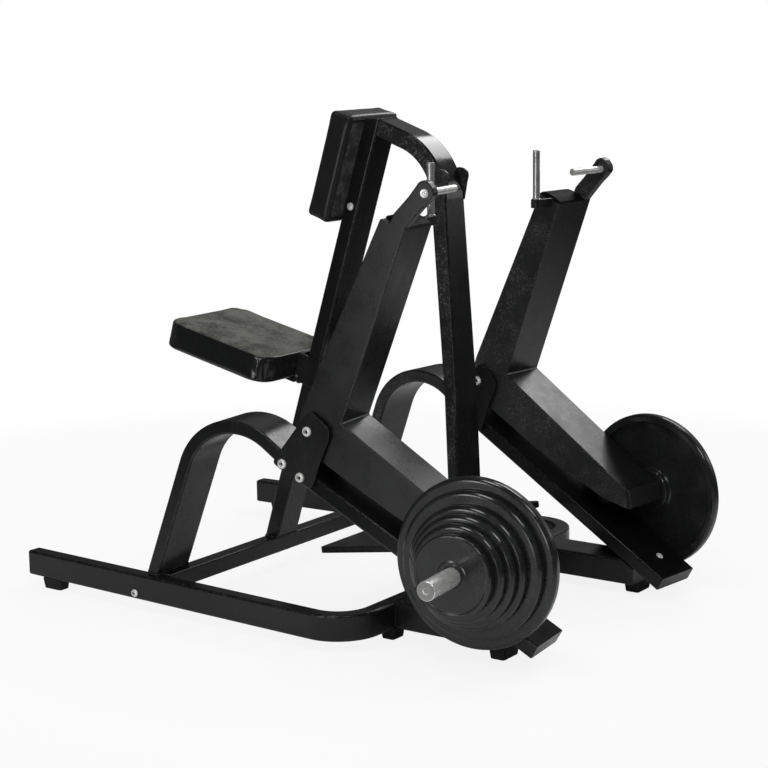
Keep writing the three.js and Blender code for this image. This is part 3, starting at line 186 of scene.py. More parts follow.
def bent(points, radius, steps):
    """A centreline through corner points with one round bend at each inner corner: positions
    and headings, with a holding station before and after each bend."""
    points = np.asarray(points, float)
    at, heading = [points[0]], [unit(points[1] - points[0])]
    for before, corner, after in zip(points[:-2], points[1:-1], points[2:]):
        into, out = unit(corner - before), unit(after - corner)
        turn = math.atan2(into[0] * out[1] - into[1] * out[0], into @ out)
        run = radius * math.tan(abs(turn) / 2)
        side = math.copysign(1, turn)
        start = corner - into * run
        centre = start + np.array([-into[1], into[0]]) * side * radius
        angle = np.linspace(0, turn, steps + 1)
        aim = np.stack([into[0] * np.cos(angle) - into[1] * np.sin(angle),
                        into[0] * np.sin(angle) + into[1] * np.cos(angle)], 1)
        arc = centre + np.stack([aim[:, 1], -aim[:, 0]], 1) * side * radius
        at += [start - into * BEND_HOLD, *arc, arc[-1] + out * BEND_HOLD]
        heading += [into, *aim, out]
    at.append(points[-1])
    heading.append(unit(points[-1] - points[-2]))
    return np.array(at), np.array(heading)


# The shells
RIM_HOLD, WALL_HOLD = 0.6, 0.5
TUBE_RIM, TUBE_HOLD, TUBE_RIM_STEPS = 1.6, 0.6, 4
OPEN_HOLD, OPEN_RIM, OPEN_DEPTH = 0.8, 0.6, 90
BEAD_STEP, BEAD_SIDES, BEAD_WORN, BEAD_TIP = 1.3, 8, 0.35, 0.3
RIPPLE, RIPPLE_LENGTH = 0.16, 4.2
DRIFT, DRIFT_LENGTH = 0.08, 17


def walls(rows, columns):
    """The four-sided faces of a grid that closes round its columns."""
    r, c = np.meshgrid(np.arange(rows - 1), np.arange(columns), indexing="ij")
    c2 = (c + 1) % columns
    here, above = r * columns, (r + 1) * columns
    return np.stack([here + c, here + c2, above + c2, above + c], -1).reshape(-1, 4)


def loft(rings, edge):
    """A skin over rings of equal count, with a flat face on the first and the last. edge is one
    where paint wears."""
    rows, columns = rings.shape[:2]
    ends = [list(range(columns)), list(range((rows - 1) * columns, rows * columns))]
    return {"points": rings.reshape(-1, 3), "quads": walls(rows, columns), "flats": ends,
            "fills": [], "edge": np.broadcast_to(edge, (rows, columns)).reshape(-1)}


def slab(outline, low, high, edge, place, corner=None, holes=(), steps=3):
    """A plate: its outline drawn out from low to high, with a quarter round of radius edge on
    each rim. place turns (across, up, through) points into the frame that the plate lies in."""
    outline = np.asarray(outline, float)
    if corner is not None:
        outline = rounded(outline, corner)[0]
    loops = [outline] + [np.asarray(hole, float) for hole in holes]
    quarter = np.linspace(0, math.pi / 2, steps + 1)
    inset = np.concatenate([[edge + RIM_HOLD], edge * (1 - np.sin(quarter)), [0]])
    height = np.concatenate([[0], edge * (1 - np.cos(quarter)), [edge + WALL_HOLD]])
    worn = np.concatenate([[0], np.ones(steps + 1), [0]])
    insets = np.concatenate([inset, inset[::-1]])
    heights = np.concatenate([low + height, high - height[::-1]])
    worn = np.concatenate([worn, worn[::-1]])
    points, quads, edges, bottoms, tops, count = [], [], [], [], [], 0
    for i, loop in enumerate(loops):
        way = 1 if i == 0 else -1
        size = len(loop)
        rings = np.stack([np.column_stack([offset(loop, way * d), np.full(size, h)])
                          for d, h in zip(insets, heights)])
        points.append(rings.reshape(-1, 3))
        quads.append(walls(len(insets), size) + count)
        edges.append(np.repeat(worn, size))
        bottoms.append(list(range(count, count + size)))
        count += len(insets) * size
        tops.append(list(range(count - size, count)))
    points = place(np.concatenate(points))
    shell = {"points": points, "quads": np.concatenate(quads), "flats": [], "fills": [],
             "edge": np.concatenate(edges)}
    if len(loops) == 1:
        shell["flats"] = [bottoms[0], tops[0]]
    else:
        shell["fills"] = [bottoms, tops]
    return shell


def turned(profile, centre, axis, segments, radius, steps=3, socket=0):
    """A profile of (radius, along) points carried round an axis. Points nearer to it than socket
    go out to six flats, as in a key socket: their radius over the cosine of the angle from the
    middle of the nearest flat."""
    points, edge = rounded(profile, radius, steps, closed=False)
    axis = unit(np.asarray(axis, float))
    help_line = np.array([0.0, 0, 1]) if abs(axis[2]) < 0.9 else np.array([1.0, 0, 0])
    first = unit(np.cross(axis, help_line))
    second = np.cross(axis, first)
    angle = np.arange(segments) / segments * 2 * math.pi
    rim = np.cos(angle)[:, None] * first + np.sin(angle)[:, None] * second
    reach = np.repeat(points[:, :1], segments, 1)
    if socket:
        flats = 1 / np.cos((angle + math.pi / 6) % (math.pi / 3) - math.pi / 6)
        reach = np.where(reach < socket, reach * flats, reach)
    rings = np.asarray(centre, float) + points[:, None, 1:2] * axis + reach[..., None] * rim
    return loft(rings, edge[:, None])


def tube(at, heading, half_width, half_thick, corner, place, ends=("flat", "flat"),
         cut=(None, None), wall=0):
    """A rounded rectangle carried along a path in the side view, square to its heading. A round
    end steps in on a quarter circle, a flat one is plain, and an open one turns back inside by
    the wall. A cut end slides along the heading onto a plane, which is a point and a normal."""
    at, heading = np.asarray(at, float), np.asarray(heading, float)
    mask = section(half_width, half_thick, corner)[1]
    stations = [(a, h, 0.0, 0) for a, h in zip(at, heading)]
    quarter = np.linspace(0, math.pi / 2, TUBE_RIM_STEPS)
    soft = TUBE_RIM

    def closing(a, h, way):
        """Rows to a round end, back by the round times one less the sine of a quarter turn, and
        in by it times one less the cosine. Each is a point, heading, inset and worn or not."""
        rows = [(a - h * way * (soft + TUBE_HOLD), h, 0.0, 0)]
        for q in quarter:
            rows.append((a - h * way * soft * (1 - math.sin(q)), h, soft * (1 - math.cos(q)), 1))
        return rows + [(a, h, soft + TUBE_HOLD, 0)]

    if ends[0] == "round":
        stations = closing(at[0], heading[0], -1)[::-1] + stations[1:]
    if ends[1] == "round":
        stations = stations[:-1] + closing(at[-1], heading[-1], 1)
    if ends[1] == "open":
        a, h = at[-1], heading[-1]
        stations = stations[:-1] + [
            (a - h * OPEN_HOLD, h, 0, 0), (a, h, OPEN_RIM, 1), (a, h, wall - OPEN_RIM, 1),
            (a - h * OPEN_HOLD, h, wall, 0), (a - h * OPEN_DEPTH, h, wall, 0)]
    rings = []
    for a, h, inset, _ in stations:
        across, up = section(half_width - inset, half_thick - inset, max(corner - inset, 0.5))[0].T
        rings.append(np.column_stack([a[0] - h[1] * up, across, a[1] + h[0] * up]))
    rings = np.stack(rings)
    for which, plane in zip((0, -1), cut):
        if plane is None:
            continue
        point, normal = np.asarray(plane[0], float), np.asarray(plane[1], float)
        h = np.array([heading[which][0], 0, heading[which][1]])
        rings[which] += (((point - rings[which]) @ normal) / (h @ normal))[:, None] * h
    worn = np.maximum(mask[None, :], np.array([row[3] for row in stations])[:, None])
    return moved(loft(rings, worn), place)


def bead(path, radius, seed=0.0):
    """A weld: a small round carried along a line in space, its radius rippled by a sine of the
    length, as a welder's steps leave it."""
    path = np.asarray(path, float)
    step = np.linalg.norm(np.diff(path, axis=0), axis=1)
    length = np.concatenate([[0], np.cumsum(step)])
    count = max(int(length[-1] / BEAD_STEP), 4)
    along = np.linspace(0, length[-1], count)
    line = np.stack([np.interp(along, length, path[:, k]) for k in range(3)], 1)
    aim = unit(np.gradient(line, axis=0))
    side = unit(np.cross(aim, np.array([0.31, 0.52, 0.79])))
    other = np.cross(aim, side)
    angle = np.arange(BEAD_SIDES) / BEAD_SIDES * 2 * math.pi
    steps = RIPPLE * np.sin(along / RIPPLE_LENGTH * 2 * math.pi + seed)
    ripple = radius * (1 + steps + DRIFT * np.sin(along / DRIFT_LENGTH + seed * 3))
    ripple[[0, -1]] *= BEAD_TIP
    spokes = (np.cos(angle)[None, :, None] * side[:, None]
              + np.sin(angle)[None, :, None] * other[:, None])
    return loft(line[:, None] + ripple[:, None, None] * spokes, BEAD_WORN)


# The places
def on_side(side):
    """Side frame to machine frame: a turn by the splay about z, a move to the axle, and for the
    left side a mirror across the middle plane."""
    def place(points):
        """Turned by the splay's cosine and sine, then set out to the side."""
        c, s = math.cos(SPLAY), math.sin(SPLAY)
        x, y, z = points[..., 0], points[..., 1], points[..., 2]
        return np.stack([AXLE_X + c * x - s * y, (-ARM_SPREAD + s * x + c * y) * -side, z], -1)
    return place


def flat_on_side(side):
    """(x, z, y) outline points of the side frame to the machine frame."""
    turn = on_side(side)
    return lambda points: turn(points[..., [0, 2, 1]])


def in_middle(points):
    """Points that are in the machine frame already."""
    return points


def flat_in_middle(points):
    """(x, z, y) outline points to the machine frame."""
    return points[..., [0, 2, 1]]


def moved(shell, place):
    """The shell with its points carried by place."""
    shell["points"] = place(shell["points"])
    return shell


def cube(low, high, edge, place, corner):
    """A block with rounded upright corners and rounded rims."""
    (x0, y0, z0), (x1, y1, z1) = low, high
    return slab([[x0, y0], [x1, y0], [x1, y1], [x0, y1]], z0, z1, edge, place, corner)


# The pieces
SMOOTH_ANGLE = 38
MERGE, NO_SIZE = 2e-6, 1e-7


def make(name, shells, look, body, nodes, second=None, both_ways=False):
    """One piece from its shells, in metres. second is (look, direction, least) for the faces
    whose normal has at least that dot product with the direction, or with its opposite too
    where both_ways is set."""
    points, quads, flats, edge, fills, count = [], [], [], [], [], 0
    for shell in shells:
        points.append(shell["points"])
        quads += (shell["quads"] + count).tolist()
        flats += [[i + count for i in flat] for flat in shell["flats"]]
        fills += [[[i + count for i in loop] for loop in loops] for loops in shell["fills"]]
        edge.append(shell["edge"])
        count += len(shell["points"])
    mesh = bpy.data.meshes.new(name)
    mesh.from_pydata((np.concatenate(points) * MM).tolist(), [], quads + flats)
    attribute = mesh.attributes.new("edge", "FLOAT", "POINT")
    attribute.data.foreach_set("value", np.concatenate(edge).astype(np.float32))
    bm = bmesh.new()
    bm.from_mesh(mesh)
    bm.verts.ensure_lookup_table()
    for loops in fills:
        edges = []
        for loop in loops:
            for a, b in zip(loop, loop[1:] + loop[:1]):
                pair = (bm.verts[a], bm.verts[b])
                edges.append(bm.edges.get(pair) or bm.edges.new(pair))
        bmesh.ops.triangle_fill(bm, use_beauty=True, use_dissolve=False, edges=edges)
    bmesh.ops.remove_doubles(bm, verts=bm.verts, dist=MERGE)
    bmesh.ops.dissolve_degenerate(bm, dist=NO_SIZE, edges=bm.edges)
    bmesh.ops.recalc_face_normals(bm, faces=bm.faces)
    bm.to_mesh(mesh)
    bm.free()
    mesh.materials.append(look)
    mesh.polygons.foreach_set("use_smooth", np.ones(len(mesh.polygons), bool))
    if second:
        other, direction, least = second
        mesh.materials.append(other)
        normal = np.zeros(len(mesh.polygons) * 3, np.float32)
        mesh.polygons.foreach_get("normal", normal)
        along = normal.reshape(-1, 3) @ unit(np.asarray(direction, float))
        near = (np.abs(along) if both_ways else along) > least
        mesh.polygons.foreach_set("material_index", near.astype(np.int32))
    mesh.set_sharp_from_angle(angle=math.radians(SMOOTH_ANGLE))
    obj = bpy.data.objects.new(name, mesh)
    scene.collection.objects.link(obj)
    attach(obj, body)
    if nodes:
        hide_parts(*nodes)


# The looks
WIPE_SHARE, WIPE_LIFT, WIPE_DULL = 0.3, 1.4, 0.06
WORN_PAINT, WORN_RIM, DUST_LIFT = 0.16, 0.12, 2.2


class Nodes:
    """A node tree, and the few nodes that the looks, the floor and the backdrop share."""

    def __init__(self, tree):
        """The tree that the calls add to."""
        self.tree = tree

    def add(self, kind, **values):
        """A new node with its settings."""
        node = self.tree.nodes.new(kind)
        for key, value in values.items():
            setattr(node, key, value)
        return node

    def put(self, value, socket):
        """A number or a colour set on a socket, or an output linked to it."""
        if isinstance(value, tuple):
            socket.default_value = (*value, 1)
        elif isinstance(value, (int, float)):
            socket.default_value = value
        else:
            self.tree.links.new(value, socket)

    def ramp(self, value, low, high, to_low=0.0, to_high=1.0, smooth=False):
        """The value carried from low..high to to_low..to_high, and held at both ends."""
        node = self.add("ShaderNodeMapRange", interpolation_type="SMOOTHSTEP" if smooth else "LINEAR")
        names = ("From Min", "From Max", "To Min", "To Max", "Value")
        for name, number in zip(names, (low, high, to_low, to_high, value)):
            self.put(number, node.inputs[name])
        return node.outputs["Result"]

    def joined(self, operation, a, b):
        """Two values joined by a sum, a product or the like."""
        node = self.add("ShaderNodeMath", operation=operation)
        self.put(a, node.inputs[0])
        self.put(b, node.inputs[1])
        return node.outputs[0]

    def plus(self, a, b):
        """The sum of two values."""
        return self.joined("ADD", a, b)

    def times(self, a, b):
        """The product of two values."""
        return self.joined("MULTIPLY", a, b)


class Look(Nodes):
    """A material built from a few patterns on Object coordinates."""

    def __init__(self, name):
        """A new material, with its shader at hand."""
        self.material = bpy.data.materials.new(name)
        self.material.use_nodes = True
        super().__init__(self.material.node_tree)
        self.shader = self.tree.nodes["Principled BSDF"]
        self.where = self.add("ShaderNodeTexCoord").outputs["Object"]

    def noise(self, scale, detail=3.0, rough=0.55, stretch=None):
        """Soft noise of scale grains to a metre, drawn out where stretch scales an axis down."""
        node = self.add("ShaderNodeTexNoise")
        node.inputs["Scale"].default_value = scale
        node.inputs["Detail"].default_value = detail
        node.inputs["Roughness"].default_value = rough
        source = self.where
        if stretch:
            mapping = self.add("ShaderNodeMapping")
            mapping.inputs["Scale"].default_value = stretch
            self.put(source, mapping.inputs["Vector"])
            source = mapping.outputs["Vector"]
        self.put(source, node.inputs["Vector"])
        return node.outputs["Fac"]

    def cells(self, scale):
        """The distance to the nearest of many scattered points."""
        node = self.add("ShaderNodeTexVoronoi")
        node.inputs["Scale"].default_value = scale
        self.put(self.where, node.inputs["Vector"])
        return node.outputs["Distance"]

    def mix(self, share, a, b):
        """The colour a with a share of the colour b."""
        node = self.add("ShaderNodeMix", data_type="RGBA")
        for socket, value in zip((node.inputs[0], node.inputs[6], node.inputs[7]), (share, a, b)):
            self.put(value, socket)
        return node.outputs[2]

    def bump(self, height, distance, strength, onto=None):
        """A normal tipped by the slope of height, which rises by distance metres."""
        node = self.add("ShaderNodeBump")
        node.inputs["Strength"].default_value = strength
        node.inputs["Distance"].default_value = distance
        self.put(height, node.inputs["Height"])
        if onto is not None:
            self.put(onto, node.inputs["Normal"])
        return node.outputs["Normal"]

    def named(self, name):
        """The mesh's own value of that name."""
        return self.add("ShaderNodeAttribute", attribute_name=name).outputs["Fac"]

    def done(self, colour, rough, normal, metal=0.0, specular=0.5, sheen=0.0):
        """The material, once its shader has all of its values."""
        values = {"Base Color": colour, "Roughness": rough, "Normal": normal, "Metallic": metal,
                  "Specular IOR Level": specular, "Sheen Weight": sheen}
        for name, value in values.items():
            self.put(value, self.shader.inputs[name])
        return self.material


def grey(value, warm=0.0):
    """A grey whose red is raised, and whose blue is lowered, by the share warm."""
    return (value * (1 + warm), value, value * (1 - warm))


def paint_look(name, dark, light, rough, specular, speckle=0.0, worn=0.12, peel=0.00008):
    """Sprayed and baked paint: slow drifts of tone, fine orange peel, faint wipe marks, and a
    lighter tone on worn edges. speckle adds the pale flecks of a coarse coat."""
    look = Look(name)
    drift = look.ramp(look.noise(scale=3.2, detail=2), low=0.3, high=0.7)
    colour = look.mix(drift, grey(dark, warm=-0.03), grey(light, warm=-0.04))
    wipe = look.noise(scale=21, detail=6, rough=0.6, stretch=(1.0, 1.0, 0.3))
    wipe = look.ramp(wipe, low=0.45, high=0.8, smooth=True)
    colour = look.mix(look.times(wipe, WIPE_SHARE), colour, grey(light * WIPE_LIFT))
    if speckle:
        flecks = look.ramp(look.noise(scale=190, detail=2, rough=0.75), low=0.5, high=0.66)
        patches = look.noise(scale=17, detail=4, rough=0.65)
        patches = look.ramp(patches, low=0.4, high=0.62, to_low=0.1)
        colour = look.mix(look.times(flecks, patches), colour, grey(speckle, warm=0.01))
    patchy = look.ramp(look.noise(scale=70), low=0.45, high=0.8)
    edge = look.times(look.named("edge"), patchy)
    colour = look.mix(look.times(edge, worn), colour, grey(WORN_PAINT))
    shine = look.ramp(look.noise(scale=17, detail=4), 0.3, 0.7, rough - 0.04, rough + 0.05)
    shine = look.plus(shine, look.times(wipe, WIPE_DULL))
    grain = look.noise(scale=240 if speckle else 560, detail=2, rough=0.6)
    normal = look.bump(grain, distance=peel, strength=0.6)
    return look.done(colour, shine, normal, specular=specular)


def steel_look(name, tone, rough, stretch, lines, metal):
    """Bright steel: lines brushed along one direction, in the shine and the bump, and small
    darker stains."""
    look = Look(name)
    stain = look.ramp(look.noise(scale=55, detail=4), low=0.45, high=0.8)
    colour = look.mix(stain, grey(tone, warm=0.008), grey(tone * 0.72, warm=0.015))
    brush = look.noise(scale=lines, rough=0.6, stretch=stretch)
    shine = look.ramp(brush, 0.25, 0.75, rough - 0.05, rough + 0.07)
    normal = look.bump(brush, distance=0.000006, strength=0.4)
    return look.done(colour, shine, normal, metal=metal)


def iron_look():
    """Cast discs under thick enamel: soft waves from the casting, fine pits, rubbed rims."""
    look = Look("disc_enamel")
    drift = look.ramp(look.noise(scale=9), low=0.3, high=0.7)
    colour = look.mix(drift, grey(0.0095, warm=-0.02), grey(0.017, warm=-0.04))
    pits = look.cells(scale=420)
    specks = look.ramp(look.noise(scale=140), low=0.6, high=0.75, to_high=0.5)
    colour = look.mix(specks, colour, grey(0.03))
    rubbed = look.ramp(look.noise(scale=38, detail=4, rough=0.7), low=0.5, high=0.72, to_high=0.16)
    colour = look.mix(look.times(look.named("edge"), rubbed), colour, grey(WORN_RIM))
    shine = look.ramp(look.noise(scale=24, detail=4), 0.3, 0.7, to_low=0.13, to_high=0.19)
    normal = look.bump(look.ramp(pits, low=0.0, high=0.6), distance=0.00003, strength=0.2)
    waves = look.noise(scale=24, detail=2)
    normal = look.bump(waves, distance=0.00025, strength=0.2, onto=normal)
    return look.done(colour, shine, normal, specular=0.48)


def rubber_look(name, tone, rough, grain):
    """Moulded rubber or plastic: a fine spark-eroded grain, dusty patches and paler edges."""
    look = Look(name)
    dust = look.ramp(look.noise(scale=34, detail=5, rough=0.7), low=0.5, high=0.8, to_high=0.5)
    colour = look.mix(dust, grey(tone), grey(tone * DUST_LIFT, warm=0.02))
    colour = look.mix(look.times(look.named("edge"), 0.1), colour, grey(WORN_RIM))
    shine = look.ramp(look.noise(scale=48), 0.3, 0.7, rough - 0.08, rough + 0.08)
    grained = look.noise(scale=grain, detail=2, rough=0.6)
    normal = look.bump(grained, distance=0.00016, strength=0.6)
    return look.done(colour, shine, normal, specular=0.35)


def vinyl_look(name, side, panel, panel_high, rough, panel_rough):
    """Upholstery vinyl: leather cells in the bump, a smooth glossy side band, and a matt, mottled
    top panel where the panel attribute is one."""
    look = Look(name)
    on_panel = look.named("panel")
    slow = look.noise(scale=13, detail=6, rough=0.72)
    fine = look.noise(scale=130, detail=5, rough=0.7)
    mottle = look.plus(look.times(slow, 0.6), look.times(fine, 0.4))
    top = look.mix(look.ramp(mottle, low=0.43, high=0.57), panel, panel_high)
    side_high = tuple(value * 1.45 for value in side)
    flank = look.mix(look.ramp(slow, low=0.35, high=0.7), side, side_high)
    colour = look.mix(on_panel, flank, top)
    shine = look.plus(look.ramp(fine, 0.3, 0.7, rough - 0.05, rough + 0.06),
                      look.times(on_panel, panel_rough - rough))
    crease = look.ramp(look.cells(scale=520), low=0.0, high=0.55)
    crease = look.times(crease, look.ramp(on_panel, low=0, high=1, to_low=0.06))
    normal = look.bump(crease, distance=0.00012, strength=0.4)
    waves = look.times(look.noise(scale=46, detail=4, rough=0.6), on_panel)
    normal = look.bump(waves, distance=0.0005, strength=0.35, onto=normal)
    return look.done(colour, shine, normal, specular=0.42, sheen=0.05)


def backing_look():
    """The felt-like backing cloth of the pad's board: short pale fibres over grey."""
    look = Look("pad_backing")
    fibre = look.noise(scale=240, detail=4, rough=0.75, stretch=(1, 1, 0.5))
    patch = look.noise(scale=30, detail=4, rough=0.6)
    colour = look.mix(look.ramp(fibre, low=0.4, high=0.68), grey(0.02), grey(0.17, warm=0.01))
    colour = look.mix(look.ramp(patch, low=0.42, high=0.62), grey(0.02), colour)
    normal = look.bump(fibre, distance=0.0006, strength=0.8)
    return look.done(colour, 0.85, normal, specular=0.25, sheen=0.1)


# Paints, by their dark and light tones, roughness and specular level
BLACK = paint_look("black_paint", 0.0055, 0.0085, 0.24, 0.32)
GREY = paint_look("arm_paint", 0.0065, 0.0105, 0.28, 0.42, worn=0.16)
# Painted highlight: a pale grey for the weld in the arm's fold, where light glints along it
FOLD_HIGHLIGHT = paint_look("fold_highlight_paint", 0.1, 0.2, 0.24, 0.6)
GLOSS = paint_look("gloss_paint", 0.004, 0.006, 0.12, 0.3, worn=0.06, peel=0.00003)
# Painted shade: a darker, matt copy of the black paint, for faces that lie in shade
PAINTED_SHADE = paint_look("painted_shade", 0.003, 0.005, 0.6, 0.08, worn=0.05)
COARSE = paint_look("coarse_paint", 0.008, 0.014, 0.4, 0.35, speckle=0.13, peel=0.0003)
SOFT_COARSE = paint_look("soft_coarse_paint", 0.015, 0.026, 0.34, 0.38, speckle=0.1, peel=0.0002)

# Steels, by their tone, roughness, the scale of their lines on each axis, and the lines' count
STEEL = steel_look("bright_steel", 0.62, 0.3, (1, 1, 0.04), 420, metal=0.85)
TURNED_STEEL = steel_look("turned_steel", 0.78, 0.27, (1, 0.05, 1), 380, metal=0.6)
CUT_STEEL = steel_look("cut_steel", 0.24, 0.42, (1, 1, 1), 500, metal=0.7)
BOLT_STEEL = steel_look("bolt_steel", 0.8, 0.3, (1, 1, 1), 700, metal=0.45)

# Enamel, rubber, plastic, vinyl and felt
IRON = iron_look()
RUBBER = rubber_look("foot_rubber", tone=0.008, rough=0.78, grain=520)
PLASTIC = rubber_look("cap_plastic", tone=0.011, rough=0.4, grain=760)
PAD_VINYL = vinyl_look("pad_vinyl", side=(0.0075, 0.0075, 0.0078), panel=(0.012, 0.0125, 0.0125),
                       panel_high=(0.02, 0.021, 0.02), rough=0.34, panel_rough=0.45)
SEAT_VINYL = vinyl_look("seat_vinyl", side=(0.006, 0.0063, 0.0066), panel=(0.034, 0.035, 0.03),
                        panel_high=(0.13, 0.132, 0.113), rough=0.16, panel_rough=0.78)
BACKING = backing_look()


# The base, and the sloped bars' line, under which the skids are pressed down
BASE_LOW, BASE_HIGH, BASE_CORNER = 32.0, 105.0, 7.0
RAIL_HALF, RAIL_TOE, RAIL_END_HALF, RAIL_BEND = 23.0, 0.05, 533.5, 107
RAIL_REACH, CAP_DEPTH = 1506, 6
BEND_STEPS = 30
BAR_TOE, BAR_BOLT = np.array([151.0, 51.5]), np.array([-522.0, 442.0])
BAR_HALF, BAR_THICK, BAR_GAP = 79, 21, 0.6
TUBE_CORNER = 6
SKID_SPREAD, SKID_HALF, SKID_LEVEL, SKID_DEPTH = 349, 59, 68.5, 36.5
SKID_NOSE, SKID_LAP, SKID_EASE, SKID_STATIONS, SKID_FIRST = 50, 1.5, 1.6, 24, -20
SKID_WELD = {"out": 1.2, "low": 38, "high": 99, "top": 104.4, "reach": 54}
CAP_HALF, SPIGOT_HALF, SPIGOT_LENGTH, CAP_GAP = 22.6, 18.5, 28, 0.3
CAP_LEVELS, SPIGOT_LEVELS = (32.3, 104.7), (36.5, 100.5)
CROSSBAR_BACK, CROSSBAR_FRONT, CROSSBAR_LOW = AXLE_X - 1021, AXLE_X - 973, 57
CROSSBAR_WELD = ((0, 60), (-0.5, 104), (4, 105))

# Feet by name: place along, place across (None where it follows the rail), length and width
FEET = {"rear": (AXLE_X - 1414, None, 72, 44), "middle": (AXLE_X - 311, 388, 46, 58),
        "front": (AXLE_X + 26, 365, 50, 80)}
# A foot from the floor up: how far its outline stands out, its height, and one on its rims
FOOT_ROWS = [(-5.6, 0, 0), (-4.5, 0.4, 1), (-3.8, 1.5, 1), (-3.6, 3, 0), (-0.4, 28.5, 0),
             (-0.2, 30.8, 1), (-1.2, 32, 0)]

rail_start_x = AXLE_X - RAIL_REACH + CAP_DEPTH
front_bar_x = AXLE_X - 311
bar_slope = math.atan2(BAR_BOLT[1] - BAR_TOE[1], BAR_TOE[0] - BAR_BOLT[0])
bar_up = np.array([-math.cos(bar_slope), math.sin(bar_slope)])
bar_out = np.array([math.sin(bar_slope), math.cos(bar_slope)])


def rail_half_at(x):
    """Half the width between the rails, which spread by RAIL_TOE for each step ahead."""
    return RAIL_END_HALF + (x - rail_start_x) * RAIL_TOE


def plan_tube(at, heading, half_across, low, high, corner):
    """A tube that runs along a path in plan: made in the side view and laid down."""
    middle, half = (low + high) / 2, (high - low) / 2
    return tube(at, heading, half, half_across, corner,
                lambda p: np.stack([p[:, 0], p[:, 2], middle + p[:, 1]], 1))


def ring_profile(inner, outer, half):
    """A ring's section: from its inner to its outer radius, by half its length each way."""
    return [(inner, -half), (outer, -half), (outer, half), (inner, half), (inner, -half)]


def rod_profile(radius, low, high):
    """A rod's section, from its axis out and back."""
    return [(0, low), (radius, low), (radius, high), (0, high)]


def foot_weld(back, front, half, level, radius, cut):
    """A bead round the foot of an upright tube, cut across its four corners."""
    inner = half - 5
    loop = [[back + cut, -half], [back, -inner], [back, inner], [back + cut, half],
            [front - cut, half], [front, inner], [front, -inner], [front - cut, -half],
            [back + cut, -half]]
    return bead([[x, y, level] for x, y in loop], radius)


# A screw head, in shares of its reach and of its height over the washer
WASHER_THICK, WASHER_SHARE, SOCKET_SHARE, SOCKET_FLOOR = 1.6, 1.22, 0.44, 0.25
DOME_SHARES = [(0.4, 0.98), (0.6, 0.86), (0.84, 0.66), (0.97, 0.28), (0.97, 0)]


def screw_head(point, out, reach, height):
    """A domed screw head with a six-sided key socket, its axis pointing out, over a washer."""
    floor = WASHER_THICK + height * SOCKET_FLOOR
    dome = [(0, floor), (reach * 0.4, floor)]
    dome += [(reach * across, WASHER_THICK + height * up) for across, up in DOME_SHARES]
    dome.append((0, WASHER_THICK))
    return turned(dome, point, out, segments=48, radius=0.9, socket=reach * SOCKET_SHARE)


def washer(point, out, reach):
    """The flat washer under a screw head. Its dark plastic is partly a painted contact shadow."""
    profile = rod_profile(reach * WASHER_SHARE, 0, WASHER_THICK)
    return turned(profile, point, out, segments=48, radius=0.5)


def make_screws(name, spots, reach, height, body="frame", place=in_middle, second=None):
    """Screw heads as one piece. A spot is a point and the way that its head looks."""
    shells = [moved(screw_head(point, out, reach, height), place) for point, out in spots]
    make(name, shells, BOLT_STEEL, body, (), second=second)


def skid_shells(side):
    """A skid: a rounded rectangle along x, drawn in at its nose and pressed down to the plane
    just under the sloped bar, with beads where it meets the front of the base."""
    back, nose = front_bar_x + RAIL_HALF - SKID_LAP, AXLE_X + SKID_NOSE
    c, s = math.cos(SPLAY), math.sin(SPLAY)
    normal = np.array([math.sin(bar_slope) * c, math.sin(bar_slope) * s, math.cos(bar_slope)])
    toe = np.array([AXLE_X + c * BAR_TOE[0], -ARM_SPREAD + s * BAR_TOE[0], BAR_TOE[1]])
    toe = toe - normal * (BAR_THICK + BAR_GAP)
    across, up = section(SKID_HALF, SKID_DEPTH, TUBE_CORNER)[0].T
    stations = [(back, 0.0)]
    stations += [(x, 0.0) for x in np.linspace(AXLE_X + SKID_FIRST, nose - SKID_EASE, SKID_STATIONS)]
    stations.append((nose, SKID_EASE))
    rings = np.stack([np.column_stack([np.full(len(up), x),
                                       -SKID_SPREAD + across * (1 - inset / SKID_HALF),
                                       SKID_LEVEL + up * (1 - inset / SKID_DEPTH)])
                      for x, inset in stations])
    run = (rings[..., 0] - toe[0]) * normal[0] + (rings[..., 1] - toe[1]) * normal[1]
    rings[..., 2] = np.minimum(rings[..., 2], toe[2] - run / normal[2])
    rings[..., 1] *= -side
    mask = section(SKID_HALF, SKID_DEPTH, TUBE_CORNER)[1]
    shells = [loft(rings, mask[None])]
    x = back + SKID_WELD["out"]
    for y in (-SKID_SPREAD - SKID_HALF, -SKID_SPREAD + SKID_HALF):
        upright = [[x, y * -side, SKID_WELD["low"]], [x, y * -side, SKID_WELD["high"]]]
        shells.append(bead(upright, radius=2.6, seed=y))
    level = [[x, (-SKID_SPREAD + way * SKID_WELD["reach"]) * -side, SKID_WELD["top"]]
             for way in (-1, 1)]
    return shells + [bead(level, radius=2.4, seed=1.0)]


def build_base():
    """A tube in plan, up one rail, round two bends and back down the other, with both skids."""
    far, near = rail_half_at(front_bar_x), RAIL_END_HALF
    corners = [[rail_start_x, -near], [front_bar_x, -far], [front_bar_x, far], [rail_start_x, near]]
    at, heading = bent(corners, RAIL_BEND, BEND_STEPS)
    shells = [plan_tube(at, heading, RAIL_HALF, BASE_LOW, BASE_HIGH, BASE_CORNER)]
    for side in SIDES:
        shells += skid_shells(side)
    make("base_rail_and_skids", shells, BLACK, "frame", ["base_frame"])


